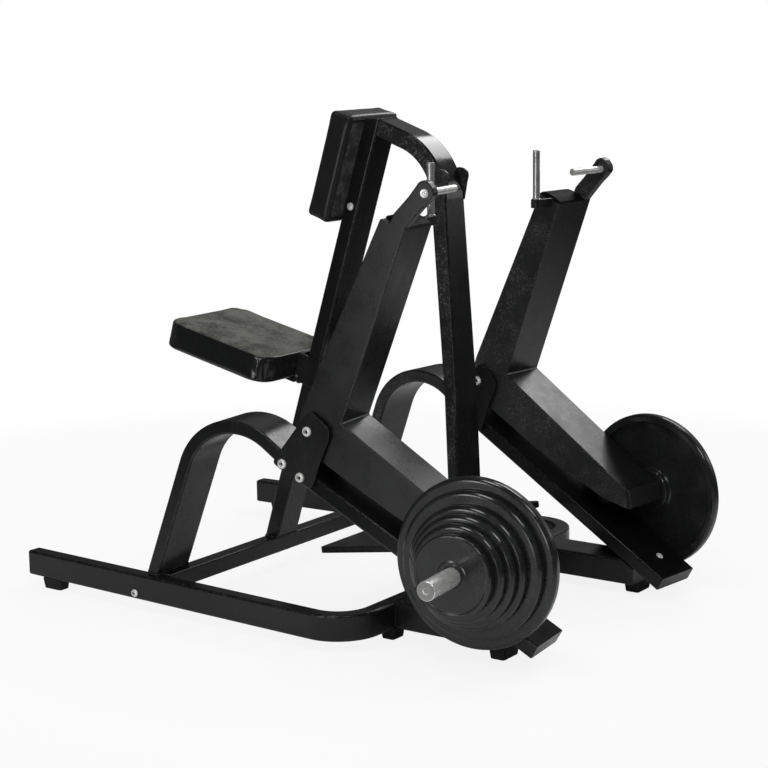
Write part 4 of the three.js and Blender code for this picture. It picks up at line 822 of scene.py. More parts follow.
def build_rail_caps():
    """A cap on each open rail end and its spigot inside, both turned by the rail's toe."""
    c, s = math.cos(-math.atan(RAIL_TOE)), math.sin(-math.atan(RAIL_TOE))
    for side, name in SIDES.items():
        def at_rail_end(p, side=side):
            """Turned by the toe's cosine and sine, then set at the end of this side's rail."""
            x, y, z = p[:, 2] - CAP_GAP, p[:, 0], p[:, 1]
            return np.stack([rail_start_x + c * x - s * y,
                             (-RAIL_END_HALF + s * x + c * y) * -side, z], 1)
        (cap_low, cap_high), (low, high) = CAP_LEVELS, SPIGOT_LEVELS
        cap = slab([[-CAP_HALF, cap_low], [CAP_HALF, cap_low], [CAP_HALF, cap_high],
                    [-CAP_HALF, cap_high]], -CAP_DEPTH, 0.2, edge=2.2, place=at_rail_end, corner=7)
        spigot = slab([[-SPIGOT_HALF, low], [SPIGOT_HALF, low], [SPIGOT_HALF, high],
                       [-SPIGOT_HALF, high]], 0, SPIGOT_LENGTH, edge=1, place=at_rail_end, corner=4)
        make(f"rail_end_cap_{name}", [cap, spigot], PLASTIC, "frame", [f"rail_cap_{name}"])


def build_crossbar():
    """The bar between the rails, up to their inner faces at its middle, and a bead at each end."""
    x0, x1 = CROSSBAR_BACK, CROSSBAR_FRONT
    middle = (x0 + x1) / 2
    reach = rail_half_at(middle) - RAIL_HALF * math.hypot(1, RAIL_TOE) - 0.3
    shells = [plan_tube([[middle, -reach], [middle, reach]], [[0, 1], [0, 1]], (x1 - x0) / 2,
                        CROSSBAR_LOW, BASE_HIGH, 5)]
    for way in (-1, 1):
        y = way * (reach - 0.5)
        line = [[x0 + inset, y, z] for inset, z in CROSSBAR_WELD]
        line += [[x1 - inset, y, z] for inset, z in CROSSBAR_WELD[::-1]]
        shells.append(bead(line, radius=2.6, seed=way))
    make("rear_crossbar_tube", shells, BLACK, "frame", ["rear_crossbar"])


def build_feet():
    """Rubber blocks: a rounded rectangle that stands out by each of its rows' insets."""
    for which, (x, y, length, width) in FEET.items():
        y = rail_half_at(x) if y is None else y
        for side, name in SIDES.items():
            rings = []
            for inset, z, _ in FOOT_ROWS:
                p = section(length / 2 + inset, width / 2 + inset, 6)[0]
                rings.append(np.column_stack([x + p[:, 0], y * side + p[:, 1], np.full(len(p), z)]))
            worn = np.array([row[2] for row in FOOT_ROWS])[:, None]
            make(f"foot_block_{which}_{name}", [loft(np.stack(rings), worn)], RUBBER, "frame",
                 [f"foot_{which}_{name}"])


# The sloped bars, the arches and the pivot plates
ARCH_BOLT = np.array([-576.0, 474.0])
ARCH_LEAN, ARCH_DROOP, ARCH_BEND, ARCH_FOOT = 0.359, 0.6283, 176, -1052
ARCH_HALF, ARCH_THICK, ARCH_TOE_IN = 74, 19, 0.0873
FRAME_TOP_GAP = 0.3
BOLT_HOLE, BOLT_RADIUS, BOLT_REACH, BOLT_HEIGHT = 8.6, 8, 13.5, 8.0
RAIL_SCREW_REACH, RAIL_SCREW_HEIGHT = 11.5, 6.5
PLATE_INNER, PLATE_OUTER = 82, 90
BUSH = ring_profile(8.4, 15, 79)
# Faces this square to a bolt's axis, the key socket's floor, are painted dark: painted shade in the
# recess
SOCKET_PAINTED_SHADE = 0.985
PLATE_SHARES = np.array([
    [0.13, 0.53], [0.46, 0.29], [0.64, 0.12], [0.66, 0.02], [0.64, -0.17], [0.37, -0.78], [0.15, -1.40],
    [0.08, -1.52], [-0.02, -1.52], [-0.56, -1.25], [-0.90, -1.07], [-1.05, -0.98], [-1.08, -0.89],
    [-0.82, -0.54], [-0.28, 0.15], [-0.02, 0.46]])


def ring_hole(at, radius, segments=32):
    """Points round a circle."""
    angle = np.arange(segments) / segments * 2 * math.pi
    return np.column_stack([at[0] + radius * np.cos(angle), at[1] + radius * np.sin(angle)])


def meeting(start, along, end, back):
    """How far from start, along one direction, the line meets the one through end along back."""
    apart = end - start
    return (apart[0] * back[1] - apart[1] * back[0]) / (along[0] * back[1] - along[1] * back[0])


def build_sloped_bar(side):
    """The bar from its toe over the skid up to its bolt, open at its upper end, with a bush."""
    place = on_side(side)
    path = [BAR_TOE, BAR_TOE + bar_up * 60, BAR_BOLT + bar_up * 22]
    bar = tube(path, [bar_up] * 3, BAR_HALF, BAR_THICK, TUBE_CORNER, place, ends=("round", "open"),
               wall=4)
    bush = turned(BUSH, (BAR_BOLT[0], 0, BAR_BOLT[1]), (0, 1, 0), segments=32, radius=0.4)
    # The bar's top faces, under the arm, take the painted shade
    make(f"sloped_bar_{SIDES[side]}", [bar, moved(bush, place)], BLACK, "frame",
         [f"front_bar_{SIDES[side]}"], second=(PAINTED_SHADE, (0.55, 0, 0.83), 0.93))


def build_arch(side):
    """The rear leg: up from the base at ARCH_LEAN, over one bend, down at ARCH_DROOP to its bolt,
    and turned about that bolt so that it stands nearly along the machine."""
    place = on_side(side)
    half_foot = ARCH_THICK / math.cos(ARCH_LEAN)
    foot = np.array([ARCH_FOOT + half_foot, BASE_HIGH])
    up = np.array([math.sin(ARCH_LEAN), math.cos(ARCH_LEAN)])
    back = np.array([-math.cos(ARCH_DROOP), math.sin(ARCH_DROOP)])
    bend = foot + up * meeting(foot, up, ARCH_BOLT, back)
    at, heading = bent([foot - up * 4, bend, ARCH_BOLT - back * 17], ARCH_BEND, BEND_STEPS)
    c, s = math.cos(ARCH_TOE_IN - SPLAY), math.sin(ARCH_TOE_IN - SPLAY)

    def arch_place(p):
        """Turned about the bolt by the angle's cosine and sine, then placed with its side."""
        x, y = p[:, 0] - ARCH_BOLT[0], p[:, 1]
        return place(np.stack([ARCH_BOLT[0] + c * x - s * y, s * x + c * y, p[:, 2]], 1))

    floor = ((0, 0, BASE_HIGH + FRAME_TOP_GAP), (0, 0, 1))
    arch = tube(at, heading, ARCH_HALF, ARCH_THICK, TUBE_CORNER, arch_place, ends=("flat", "round"),
                cut=(floor, None))
    weld = foot_weld(foot[0] - half_foot, foot[0] + half_foot, ARCH_HALF, level=106.2, radius=2.7, cut=4)
    make(f"arch_leg_{SIDES[side]}", [arch, moved(weld, arch_place)], BLACK, "frame",
         [f"arch_{SIDES[side]}"], second=(SOFT_COARSE, (0, -side, 0), 0.9))


def build_pivot(side):
    """The two side plates, and their three bolts with heads, shanks and washers."""
    name, place = SIDES[side], on_side(side)
    bolts = {"pivot": PIVOT, "arch": ARCH_BOLT, "bar": BAR_BOLT}
    holes = [ring_hole(at, BOLT_HOLE) for at in bolts.values()]
    for which, low, high in (("outer", -PLATE_OUTER, -PLATE_INNER), ("inner", PLATE_INNER, PLATE_OUTER)):
        shell = slab(PIVOT + PLATE_SHARES * 100, low, high, edge=1.1, place=flat_on_side(side),
                     corner=11, holes=holes)
        make(f"pivot_side_plate_{which}_{name}", [shell], BLACK, "frame",
             [f"pivot_plate_{which}_{name}"])
    for which, at in bolts.items():
        spots = [((at[0], way * (PLATE_OUTER + 0.1), at[1]), (0, way, 0)) for way in (-1, 1)]
        shells = [screw_head(*spot, BOLT_REACH, BOLT_HEIGHT) for spot in spots]
        shank = rod_profile(BOLT_RADIUS, -PLATE_OUTER - 1, PLATE_OUTER + 1)
        shells.append(turned(shank, (at[0], 0, at[1]), (0, 1, 0), segments=32, radius=0.3))
        # Their socket floors take dark plastic, painted shade
        make(f"{which}_bolt_set_{name}", [moved(shell, place) for shell in shells], BOLT_STEEL, "frame",
             [f"{which}_bolt_{name}"], second=(PLASTIC, (0, 1, 0), SOCKET_PAINTED_SHADE),
             both_ways=True)
        washers = [moved(washer(*spot, BOLT_REACH), place) for spot in spots]
        # Dark washers: real parts, and partly painted shadow round the heads
        make(f"{which}_bolt_washers_{name}", washers, PLASTIC, "frame", ())


def build_side_screws(side):
    """The small screw near the sloped bar's toe, and the one in the rail with its washer."""
    name = SIDES[side]
    at = BAR_TOE + bar_up * ((BAR_TOE[0] - 85) / math.cos(bar_slope)) + bar_out * BAR_THICK
    spot = ((at[0], 0, at[1]), (bar_out[0], 0, bar_out[1]))
    make_screws(f"bar_toe_screw_{name}", [spot], reach=11, height=6, place=on_side(side))
    x = AXLE_X - 1065
    spot = ((x, (rail_half_at(x) + RAIL_HALF) * side, 50), (0, side, 0))
    # Its socket floor takes dark plastic, painted shade
    make_screws(f"rail_screw_{name}", [spot], RAIL_SCREW_REACH, RAIL_SCREW_HEIGHT,
                second=(PLASTIC, (0, side, 0), SOCKET_PAINTED_SHADE))
    # The dark washer is partly painted shadow round the head
    make(f"rail_screw_washer_{name}", [washer(*spot, RAIL_SCREW_REACH)], PLASTIC, "frame", ())


def build_side(side):
    """What stands still on one side."""
    build_sloped_bar(side)
    build_arch(side)
    build_pivot(side)
    build_side_screws(side)


# The arms
CREASE = PIVOT + np.array([96, 26])
UPPER_LEAN, UPPER_LENGTH, UPPER_TOP = 0.3608, 549.0, 76.0
LOWER_DROOP, LOWER_LENGTH, HEEL_DEPTH, HEEL_RADIUS = 0.5853, 518.0, 125.0, 42
ARM_RIM, BOX_INSET, SHEET_INSET, SHEET_THICK, SHOULDER_CORNER = 3.2, 0.15, 0.08, 28, 22
BOSS = ring_profile(8.5, 24, 81.5)
LUG_HALF, LUG_DEPTH, LUG_INNER, LUG_OUTER = 11.5, 12.5, 72.5, 150
FOLD_WELD_HALF, LUG_WELD_Y, COLLAR_WELD_Y, COLLAR_WELD = 71, 75.4, -75.3, 35

# The arm's underside in shares of the lower length and of the heel's depth, and the turns of
# the points round its heel
UNDER_SHARES = [[0.023, 1], [0.43, 0.894], [0.59, 0.821], [0.92, 0.587], [1.07, 0.342]]
HEEL_TURNS = (0.64, 0.57, 0.5, 0.43)
ARM_CORNERS = [4.2, 4.2, 4.2, 14, 14, 14, 14, 12, 12, 12, 12, 30, 4.2, 4.2]

# The sheet that carries the cross handle, in tenths of a metre from the arm's top
EXTENSION_SHARES = np.array([
    [-0.252, 0.0955], [-0.18, 0.305], [0.28, 0.775], [0.49, 1.035], [0.57, 1.145], [0.70, 1.205],
    [0.85, 1.155], [0.98, 0.985], [1.00, 0.835], [0.87, 0.685], [0.62, 0.455], [0.19, -0.015]])
EXTENSION_CORNERS = [26, 30, 40, 20, 14, 14, 14, 14, 14, 30, 30, 4.2]
HANDLE_SHARE = np.array([0.75, 0.875])

# Plugs in shares of their face and of how far they stand out
PLUG_STANDS, PLUG_GAP = 12, 0.3
TOP_PLUG_SIDES, LIP_SIDES, LIP_LEVELS, END_PLUG_HALF = (-46.5, 71.5), (-46.6, 74.4), (0.2, 3.4), 74.6
TOP_PLUG_SHARES = [[1, 0], [0.97, 0.55], [0.82, 0.9], [0.62, 1], [0.3, 0.9], [0.04, 0.45], [0, 0]]
END_PLUG_SHARES = [[0.01, 0], [0.99, 0], [0.99, 0.55], [0.85, 1], [0.2, 1], [0.01, 0.5]]

# Turned parts, as (radius, along their axis)
CROSS_GRIP = [(0, -82.3), (4.2, -82.3), (4.2, -79.5), (6.5, -79.5), (10.3, -79.8), (11.8, -77.4),
              (12, -75.2), (6, -75.2), (6, -46.8), (10, -46.8), (10, 91), (0, 91)]
UPRIGHT_GRIP = [(0, -25), (6, -25), (6, 0.2), (13, 0.2), (13, 2.2), (10, 2.2), (10, 138), (0, 138)]
UPRIGHT_GRIP_Y = 136
SLEEVE = [(0, -45), (6.5, -45), (6.5, -75.4), (34, -75.4), (34, -82), (25, -82), (25, -376.2),
          (23.2, -378), (9, -378), (7, -374.5), (0, -374.5)]
DISC_RADII, DISC_BORE = (225, 195, 162, 145, 127, 107), 25.4
DISC_START, FIRST_DISC, OTHER_DISCS, DISC_GAP, DISC_RIM = 82.3, 31.0, 25.5, 0.3, 9

# The rubber buffer: shares of its height, and its radius there
BUFFER_ROWS = ((0, 21), (0.02, 22), (0.2, 22), (0.3, 20.5), (0.4, 22), (0.6, 22), (0.7, 20.5),
               (0.8, 22), (0.98, 22), (1, 21))
BUFFER_X, BUFFER_Y = -135.0, -35


def upper_at(run, depth):
    """A point by its run up the arm's upper part and its depth behind the front face."""
    s, c = math.sin(UPPER_LEAN), math.cos(UPPER_LEAN)
    return np.array([CREASE[0] + s * run - c * depth, CREASE[1] + c * run + s * depth])


def lower_at(run, depth):
    """A point by its run down the arm's lower part and its depth under the top face."""
    s, c = math.sin(LOWER_DROOP), math.cos(LOWER_DROOP)
    return np.array([CREASE[0] + c * run - s * depth, CREASE[1] - s * run - c * depth])


underside = [lower_at(a * LOWER_LENGTH, b * HEEL_DEPTH) for a, b in UNDER_SHARES]
heel = [PIVOT + HEEL_RADIUS * np.array([math.cos(t * 2 * math.pi), math.sin(t * 2 * math.pi)])
        for t in HEEL_TURNS]
arm_outline = np.array([CREASE, lower_at(LOWER_LENGTH, 0), *underside[::-1], *heel, upper_at(0, 123),
                        upper_at(UPPER_LENGTH, UPPER_TOP), upper_at(UPPER_LENGTH, 0)])
arm_top = upper_at(UPPER_LENGTH, UPPER_TOP / 4)
lug_at = upper_at(UPPER_LENGTH - 8, UPPER_TOP * 0.45)
end_top, end_bottom = lower_at(LOWER_LENGTH, 0), underside[-1]
end_span = np.linalg.norm(end_bottom - end_top)
end_down = (end_bottom - end_top) / end_span


def end_at(down, out):
    """A point by its way down the arm's cut end and its distance out of it."""
    return end_top + end_down * down + np.array([-end_down[1], end_down[0]]) * out


def build_weldment(side):
    """The box arm, the sheet of its outer wall that goes on to the cross handle, the boss on the
    pivot, the lug of the upright handle, and the welds."""
    name, place, flat = SIDES[side], on_side(side), flat_on_side(side)
    box = slab(rounded(arm_outline, ARM_CORNERS)[0], -ARM_HALF + BOX_INSET, ARM_HALF, ARM_RIM, flat,
               steps=4)
    stem = arm_top + EXTENSION_SHARES * 100
    outline = np.vstack([arm_outline[:-1], stem, arm_outline[-1:]])
    corners = [*ARM_CORNERS[:-2], SHOULDER_CORNER, *EXTENSION_CORNERS, ARM_CORNERS[-1]]
    outline = offset(rounded(outline, corners)[0], SHEET_INSET)
    sheet = slab(outline, -ARM_HALF, -ARM_HALF + SHEET_THICK, ARM_RIM, flat, steps=4)
    boss = turned(BOSS, (PIVOT[0], 0, PIVOT[1]), (0, 1, 0), segments=48, radius=1.0)
    ridge = [[CREASE[0] + 0.6, way * FOLD_WELD_HALF, CREASE[1] + 0.4] for way in (-1, 1)]
    # The fold's weld is painted pale, a painted highlight along the crease
    make(f"arm_fold_weld_{name}", [moved(bead(ridge, radius=2.6), place)], FOLD_HIGHLIGHT, f"arm_{name}", ())
    x, z = lug_at
    lug = cube((x - LUG_HALF, LUG_INNER, z - LUG_DEPTH), (x + LUG_HALF, LUG_OUTER, z + LUG_DEPTH),
               edge=2, place=place, corner=5)
    weld = [[x + run, LUG_WELD_Y, z + up] for run, up in ((-12, -13), (12, -13), (12, 12))]
    angle = np.linspace(0, 2 * math.pi, 60)
    collar = np.column_stack([np.cos(angle) * COLLAR_WELD, np.full(60, COLLAR_WELD_Y),
                              AXLE_Z + np.sin(angle) * COLLAR_WELD])
    shells = [box, sheet, moved(boss, place), lug, moved(bead(weld, radius=2.2), place),
              moved(bead(collar, radius=2.0), place)]
    make(f"arm_weldment_{name}", shells, GREY, f"arm_{name}", [f"arm_{name}"],
         second=(SOFT_COARSE, (0, -side, 0), 0.93))


def build_plugs(side):
    """The domed plug in the arm's upper end, with its lip, and the plug in its lower end."""
    name, flat = SIDES[side], flat_on_side(side)
    dome = np.array([upper_at(UPPER_LENGTH + PLUG_GAP + b * PLUG_STANDS, a * UPPER_TOP)
                     for a, b in TOP_PLUG_SHARES])
    low, high = (UPPER_LENGTH + level for level in LIP_LEVELS)
    lip = np.array([upper_at(low, -0.3), upper_at(high, 0.2), upper_at(high, UPPER_TOP - 0.2),
                    upper_at(low, UPPER_TOP)])
    shells = [slab(dome, *TOP_PLUG_SIDES, edge=2.6, place=flat, corner=7),
              slab(lip, *LIP_SIDES, edge=1.2, place=flat, corner=1.9)]
    # The top plug is drawn in the painted shade, darker and duller than the end plug's plastic
    make(f"arm_top_plug_{name}", shells, PAINTED_SHADE, f"arm_{name}", [f"arm_top_cap_{name}"])
    outline = np.array([end_at(a * end_span, PLUG_GAP + b * PLUG_STANDS) for a, b in END_PLUG_SHARES])
    plug = slab(outline, -END_PLUG_HALF, END_PLUG_HALF, edge=2.4, place=flat, corner=4.5)
    make(f"arm_end_plug_{name}", [plug], PLASTIC, f"arm_{name}", [f"arm_end_cap_{name}"])


def build_steel(side):
    """The two handles and the sleeve, each turned."""
    name, place = SIDES[side], on_side(side)
    x, z = arm_top + HANDLE_SHARE * 100
    grip = moved(turned(CROSS_GRIP, (x, 0, z), (0, 1, 0), segments=48, radius=1.4), place)
    make(f"cross_grip_{name}", [grip], TURNED_STEEL, f"arm_{name}", [f"cross_handle_{name}"])
    x, z = lug_at
    foot = (x, UPRIGHT_GRIP_Y, z + LUG_DEPTH)
    grip = moved(turned(UPRIGHT_GRIP, foot, (0, 0, 1), segments=48, radius=1.4), place)
    make(f"upright_grip_{name}", [grip], STEEL, f"arm_{name}", [f"upright_handle_{name}"])
    sleeve = moved(turned(SLEEVE, (0, 0, AXLE_Z), (0, 1, 0), segments=64, radius=0.9), place)
    out = (math.sin(SPLAY), math.cos(SPLAY) * side, 0)
    make(f"loading_sleeve_{name}", [sleeve], TURNED_STEEL, f"arm_{name}", [f"sleeve_{name}"],
         second=(CUT_STEEL, out, 0.9))


def disc_profile(number, radius, inner, outer):
    """A disc's section with its corners' radii: the first is dished on its inner face, the last
    has a raised rim and hub on its outer face, and those between are plain."""
    bore = DISC_BORE
    if number == 0:
        floor, web = outer + 13, radius - 24
        return ([(bore, inner), (62, inner), (62, floor), (web, floor), (web, inner), (radius, inner),
                 (radius, outer), (bore, outer), (bore, inner)], [0.5, 4, 7, 7, 4, 8, 11, 1.5, 0.5])
    if number < len(DISC_RADII) - 1:
        return ([(bore, inner), (radius, inner), (radius, outer), (bore, outer), (bore, inner)],
                [0.5, 7, 11, 1.5, 0.5])
    rim = radius * 0.9
    return ([(bore, inner), (radius, inner), (radius, outer), (rim, outer), (rim - 3, outer + 1.6),
             (42, outer + 1.6), (38, outer + 0.6), (29, outer + 0.6), (bore, outer + 3), (bore, inner)],
            [0.5, 7, 9, 4, 4, 3, 3, 2, 1.5, 0.5])


def build_discs(side):
    """Six turned discs side by side on the sleeve. Their edge value grows with the square of the
    way into the outer DISC_RIM."""
    name, place, start = SIDES[side], on_side(side), DISC_START
    for number, radius in enumerate(DISC_RADII):
        thick = OTHER_DISCS if number else FIRST_DISC
        profile, soft = disc_profile(number, radius, -start, -start - thick)
        profile = rounded(profile, soft, 5, closed=False)[0]
        shell = turned(profile, (0, 0, AXLE_Z), (0, 1, 0), segments=128, radius=0, steps=1)
        shell = moved(shell, place)
        away = shell["points"] - place(np.array([0.0, 0, AXLE_Z]))
        away = np.hypot(away[:, 0], away[:, 2])
        shell["edge"] = np.clip((away - radius + DISC_RIM) / DISC_RIM, 0, 1) ** 2
        make(f"disc_plate_{number + 1}_{name}", [shell], IRON, f"discs_{name}",
             [f"disc_{number + 1}_{name}"])
        start += thick + DISC_GAP


def build_buffer(side):
    """The ribbed rubber on the sloped bar. Each of its points rises square to the bar, by a share
    of the way to the arm's underside above it."""
    foot = np.array([BUFFER_X, 0]) + bar_out * 21.3
    foot[1] += BAR_TOE[1] + (BAR_TOE[0] - BUFFER_X) * math.tan(bar_slope)
    line = np.array(underside) - foot
    along, up = line @ -bar_up, line @ bar_out
    angle = np.arange(48) / 48 * 2 * math.pi
    rings = []
    for share, radius in BUFFER_ROWS:
        a, b = radius * np.cos(angle), radius * np.sin(angle)
        rise = (np.interp(a, along, up) - 0.6) * share
        rings.append(np.column_stack([foot[0] - bar_up[0] * a + bar_out[0] * rise, BUFFER_Y + b,
                                      foot[1] - bar_up[1] * a + bar_out[1] * rise]))
    shell = moved(loft(np.stack(rings), 0.0), on_side(side))
    make(f"rubber_buffer_{SIDES[side]}", [shell], RUBBER, "frame", [f"bump_stop_{SIDES[side]}"])


def build_arm(side):
    """What swings on one side, and the buffer that it comes down on."""
    build_weldment(side)
    build_plugs(side)
    build_steel(side)
    build_discs(side)
    build_buffer(side)


# The post, the column and the top bar
POST_LEAN, POST_DEPTH, POST_HALF, POST_TOP = 0.3061, 46.5, 48.0, 1360.0
RACK_TOP, TEETH, TOOTH_PITCH, TOOTH_ROOT, TOOTH_TIP, RACK_HALF = 760, 9, 16.5, 4, 10, 8
BAR_DROOP, TOP_BAR_HALF, TOP_BAR_THICK, TOP_BAR_BEND, TOP_BAR_DROP = 0.351, 46, 25, 178, 28
COLUMN_CORNER, COLUMN_RISE, BAR_LAP = 5.5, np.array([-36.0, 543.0]), 0.4
POST_SCREW_LEVEL, CROSSBAR_SCREWS_X, CROSSBAR_SCREWS_Y = 1113, AXLE_X - 997, 22

# The column from its foot up: its front behind the axle, depth, half width and height
COLUMN_STATIONS = [[312, 20, 72, 105.3], [312.3, 21.2, 71, 133], [320.7, 40, 55.3, 578],
                   [321, 41, 54.5, 600], [322.5, 41.3, 54.2, 622], [356.2, 48, 48.2, 1130],
                   [357, 48.4, 48, 1143]]
COLUMN_FRONT, COLUMN_DEPTH, COLUMN_TOP = 357, 48.4, 1143
# Its side welds: from and to, each as (behind the axle, across, height), and the radius
COLUMN_WELDS = (((403, 48.6, 1139), (359, 48.6, 1139), 2.2), ((313, 66, 106), (330, 66, 106), 2.4))

# The cheeks that hold the top bar, in shares of the column's depth and of their own height
CHEEK_SHARES = np.array([[0, -0.06], [0.19, 0.51], [0.29, 0.71], [0.25, 0.87], [0, 0.97], [-0.33, 1],
                         [-0.79, 0.94], [-1.06, 0.74], [-1.0, -0.06]])
CHEEK_CORNERS = [2, 8, 8, 8, 10, 14, 14, 8, 2]
CHEEK_HEIGHT, CHEEK_INNER, CHEEK_OUTER = 84, 46.3, 52

post_foot_x = AXLE_X - 1020
post_up = np.array([math.sin(POST_LEAN), math.cos(POST_LEAN)])
post_back = np.array([-math.cos(POST_LEAN), math.sin(POST_LEAN)])
post_level_depth = POST_DEPTH / math.cos(POST_LEAN)


def post_x(z):
    """Where the post's rear face is at height z."""
    return post_foot_x + (z - BASE_HIGH) * math.tan(POST_LEAN)


def on_post(height):
    """Points measured along the post and out behind its rear face, from one height."""
    origin = np.array([post_x(height), height])
    return lambda run, back: origin + post_up * run + post_back * back


def on_post_plane(height, back=0):
    """Turns (out behind the post, across, along it) into the machine frame."""
    origin = on_post(height)(0, back)
    return lambda p: np.stack([origin[0] + post_back[0] * p[:, 0] + post_up[0] * p[:, 2], p[:, 1],
                               origin[1] + post_back[1] * p[:, 0] + post_up[1] * p[:, 2]], 1)


def build_post():
    """The post as a tube cut level at its foot and its top, with a rack of sloped teeth."""
    foot_level = BASE_HIGH + FRAME_TOP_GAP
    low, high = (np.array([post_x(z) + post_level_depth / 2, z]) for z in (foot_level, POST_TOP))
    post = tube([low, low + post_up * 30, high - post_up * 40, high], [post_up] * 4, POST_HALF,
                POST_DEPTH / 2, TUBE_CORNER, in_middle,
                cut=(((0, 0, foot_level), (0, 0, 1)), ((0, 0, POST_TOP), (0, 0, 1))))
    at = on_post(RACK_TOP)
    outline = [at(0, -2)]
    for tooth in range(TEETH):
        outline += [at(-tooth * TOOTH_PITCH, TOOTH_ROOT), at(-(tooth + 0.75) * TOOTH_PITCH, TOOTH_TIP),
                    at(-(tooth + 1) * TOOTH_PITCH, TOOTH_TIP)]
    outline.append(at(-TEETH * TOOTH_PITCH, -2))
    rack = slab(outline, -RACK_HALF, RACK_HALF, edge=0.6, place=flat_in_middle, corner=1.3)
    rear = post_x(BASE_HIGH)
    weld = foot_weld(rear, rear + post_level_depth, POST_HALF, level=106, radius=2.8, cut=5)
    make("seat_post_tube", [post, rack, weld], BLACK, "frame", ["seat_post"])


def build_column():
    """The column: a rounded rectangle whose depth and width follow its stations, with a cheek on
    each side of its head, and beads at its foot and under the cheeks."""
    rings = []
    for behind, depth, half, z in COLUMN_STATIONS:
        across, up = section(half, depth / 2, COLUMN_CORNER)[0].T
        rings.append(np.column_stack([AXLE_X - behind - depth / 2 + up, across, np.full(len(up), z)]))
    mask = section(50, 20, COLUMN_CORNER)[1]
    shells = [loft(np.stack(rings), mask[None])]
    head = np.array([AXLE_X - COLUMN_FRONT, COLUMN_TOP])
    cheek = head + CHEEK_SHARES * np.array([COLUMN_DEPTH, CHEEK_HEIGHT])
    for low, high in ((CHEEK_INNER, CHEEK_OUTER), (-CHEEK_OUTER, -CHEEK_INNER)):
        shells.append(slab(cheek, low, high, edge=1.2, place=flat_in_middle, corner=CHEEK_CORNERS))
    for way in (-1, 1):
        for start, end, radius in COLUMN_WELDS:
            line = [[AXLE_X - behind, way * y, z] for behind, y, z in (start, end)]
            shells.append(bead(line, radius, way))
    front = [[AXLE_X - 311.5, y, 106.2] for y in (-66, 66)]
    shells.append(bead(front, radius=2.6))
    make("front_column_tube", shells, BLACK, "frame", ["front_column"],
         second=(COARSE, (0, -1, 0), 0.9))


def build_top_bar():
    """The top bar: out of the post's front at BAR_DROOP, over one bend, down into the column."""
    start = np.array([post_x(POST_TOP) + post_level_depth, POST_TOP - TOP_BAR_DROP])
    end = np.array([AXLE_X - COLUMN_FRONT - COLUMN_DEPTH / 2, COLUMN_TOP + BAR_LAP])
    down = np.array([math.cos(BAR_DROOP), -math.sin(BAR_DROOP)])
    bend = start + down * meeting(start, down, end, unit(COLUMN_RISE))
    at, heading = bent([start, bend, end], TOP_BAR_BEND, BEND_STEPS)
    post_front = ((post_x(BASE_HIGH) + post_level_depth + 0.3, 0, BASE_HIGH),
                  (math.cos(POST_LEAN), 0, -math.sin(POST_LEAN)))
    column_head = ((0, 0, COLUMN_TOP + BAR_LAP), (0, 0, 1))
    shells = [tube(at, heading, TOP_BAR_HALF, TOP_BAR_THICK, TUBE_CORNER, in_middle,
                   cut=(post_front, column_head))]
    corner = on_post(POST_TOP - TOP_BAR_DROP)
    for way in (-1, 1):
        line = [corner(run, -POST_DEPTH - 1) for run in (-28, 12)]
        shells.append(bead([[x, way * 45.5, z] for x, z in line], radius=2.3, seed=way))
    make("top_bar_tube", shells, GLOSS, "frame", ["top_bar"],
         second=(COARSE, (0, -1, 0), 0.9))


def build_middle():
    """The post, the column and the top bar, with the screws in the post and the crossbar."""
    build_post()
    build_column()
    build_top_bar()
    x, z = post_x(POST_SCREW_LEVEL) + post_level_depth / 2, POST_SCREW_LEVEL
    spots = [((x, way * POST_HALF, z), (0, way, 0)) for way in (-1, 1)]
    make_screws("post_screws", spots, reach=11.5, height=6.5)
    spots = [((CROSSBAR_SCREWS_X, way * CROSSBAR_SCREWS_Y, CROSSBAR_LOW), (0, 0, -1))
             for way in (-1, 1)]
    make_screws("crossbar_screws", spots, reach=10.5, height=6)


# The foot plate
FOOT_PLATE_BACK, FOOT_PLATE_FRONT = np.array([AXLE_X - 622, 184.0]), np.array([AXLE_X - 262, 240.0])
FOOT_PLATE_HALF, FOOT_PLATE_THICK, NOTCH_DEPTH, NOTCH_HALF = 300, 17.6, 97, 69.7 + 0.6
FOOT_PLATE_CORNERS = [14, 14, 5, 5, 5, 5, 14, 14]
GUSSET_INNER, GUSSET_OUTER, GUSSET_LEAN, GUSSET_WELD = 72.3, 80.3, 46, 4.4


def build_foot_plate():
    """A sloped plate with a notch for the column, on two gussets that stand on the base."""
    back, front = FOOT_PLATE_BACK, FOOT_PLATE_FRONT
    long = np.linalg.norm(front - back)
    along = (front - back) / long
    up = np.array([-along[1], along[0]])

    def place(p):
        """The plate's back edge plus the runs along it and up from it."""
        x = back[0] + along[0] * p[:, 0] + up[0] * p[:, 2]
        z = back[1] + along[1] * p[:, 0] + up[1] * p[:, 2]
        return np.stack([x, p[:, 1], z], 1)

    half, deep, slot = FOOT_PLATE_HALF, long - NOTCH_DEPTH, NOTCH_HALF
    outline = [[0, -half], [long, -half], [long, -slot], [deep, -slot], [deep, slot], [long, slot],
               [long, half], [0, half]]
    shells = [slab(outline, -FOOT_PLATE_THICK, 0, edge=2, place=place, corner=FOOT_PLATE_CORNERS)]
    slope = (front[1] - back[1]) / (front[0] - back[0])
    under = lambda x: back[1] - 18 + (x - back[0]) * slope
    low_x, high_x = front_bar_x - RAIL_HALF, front_bar_x + RAIL_HALF
    outline = [[low_x, 105.2], [high_x, 105.2], [high_x, under(high_x)],
               [low_x - GUSSET_LEAN, under(low_x - GUSSET_LEAN)]]
    for low, high in ((GUSSET_INNER, GUSSET_OUTER), (-GUSSET_OUTER, -GUSSET_INNER)):
        shells.append(slab(outline, low, high, edge=1, place=flat_in_middle, corner=2.5))
        for way in (-1, 1):
            y = (low + high) / 2 + way * GUSSET_WELD
            shells.append(bead([[low_x, y, 105.6], [high_x, y, 105.6]], radius=2.2, seed=low))
    make("foot_rest_plate", shells, BLACK, "frame", ["foot_plate"],
         second=(COARSE, (up[0], 0, up[1]), 0.98))


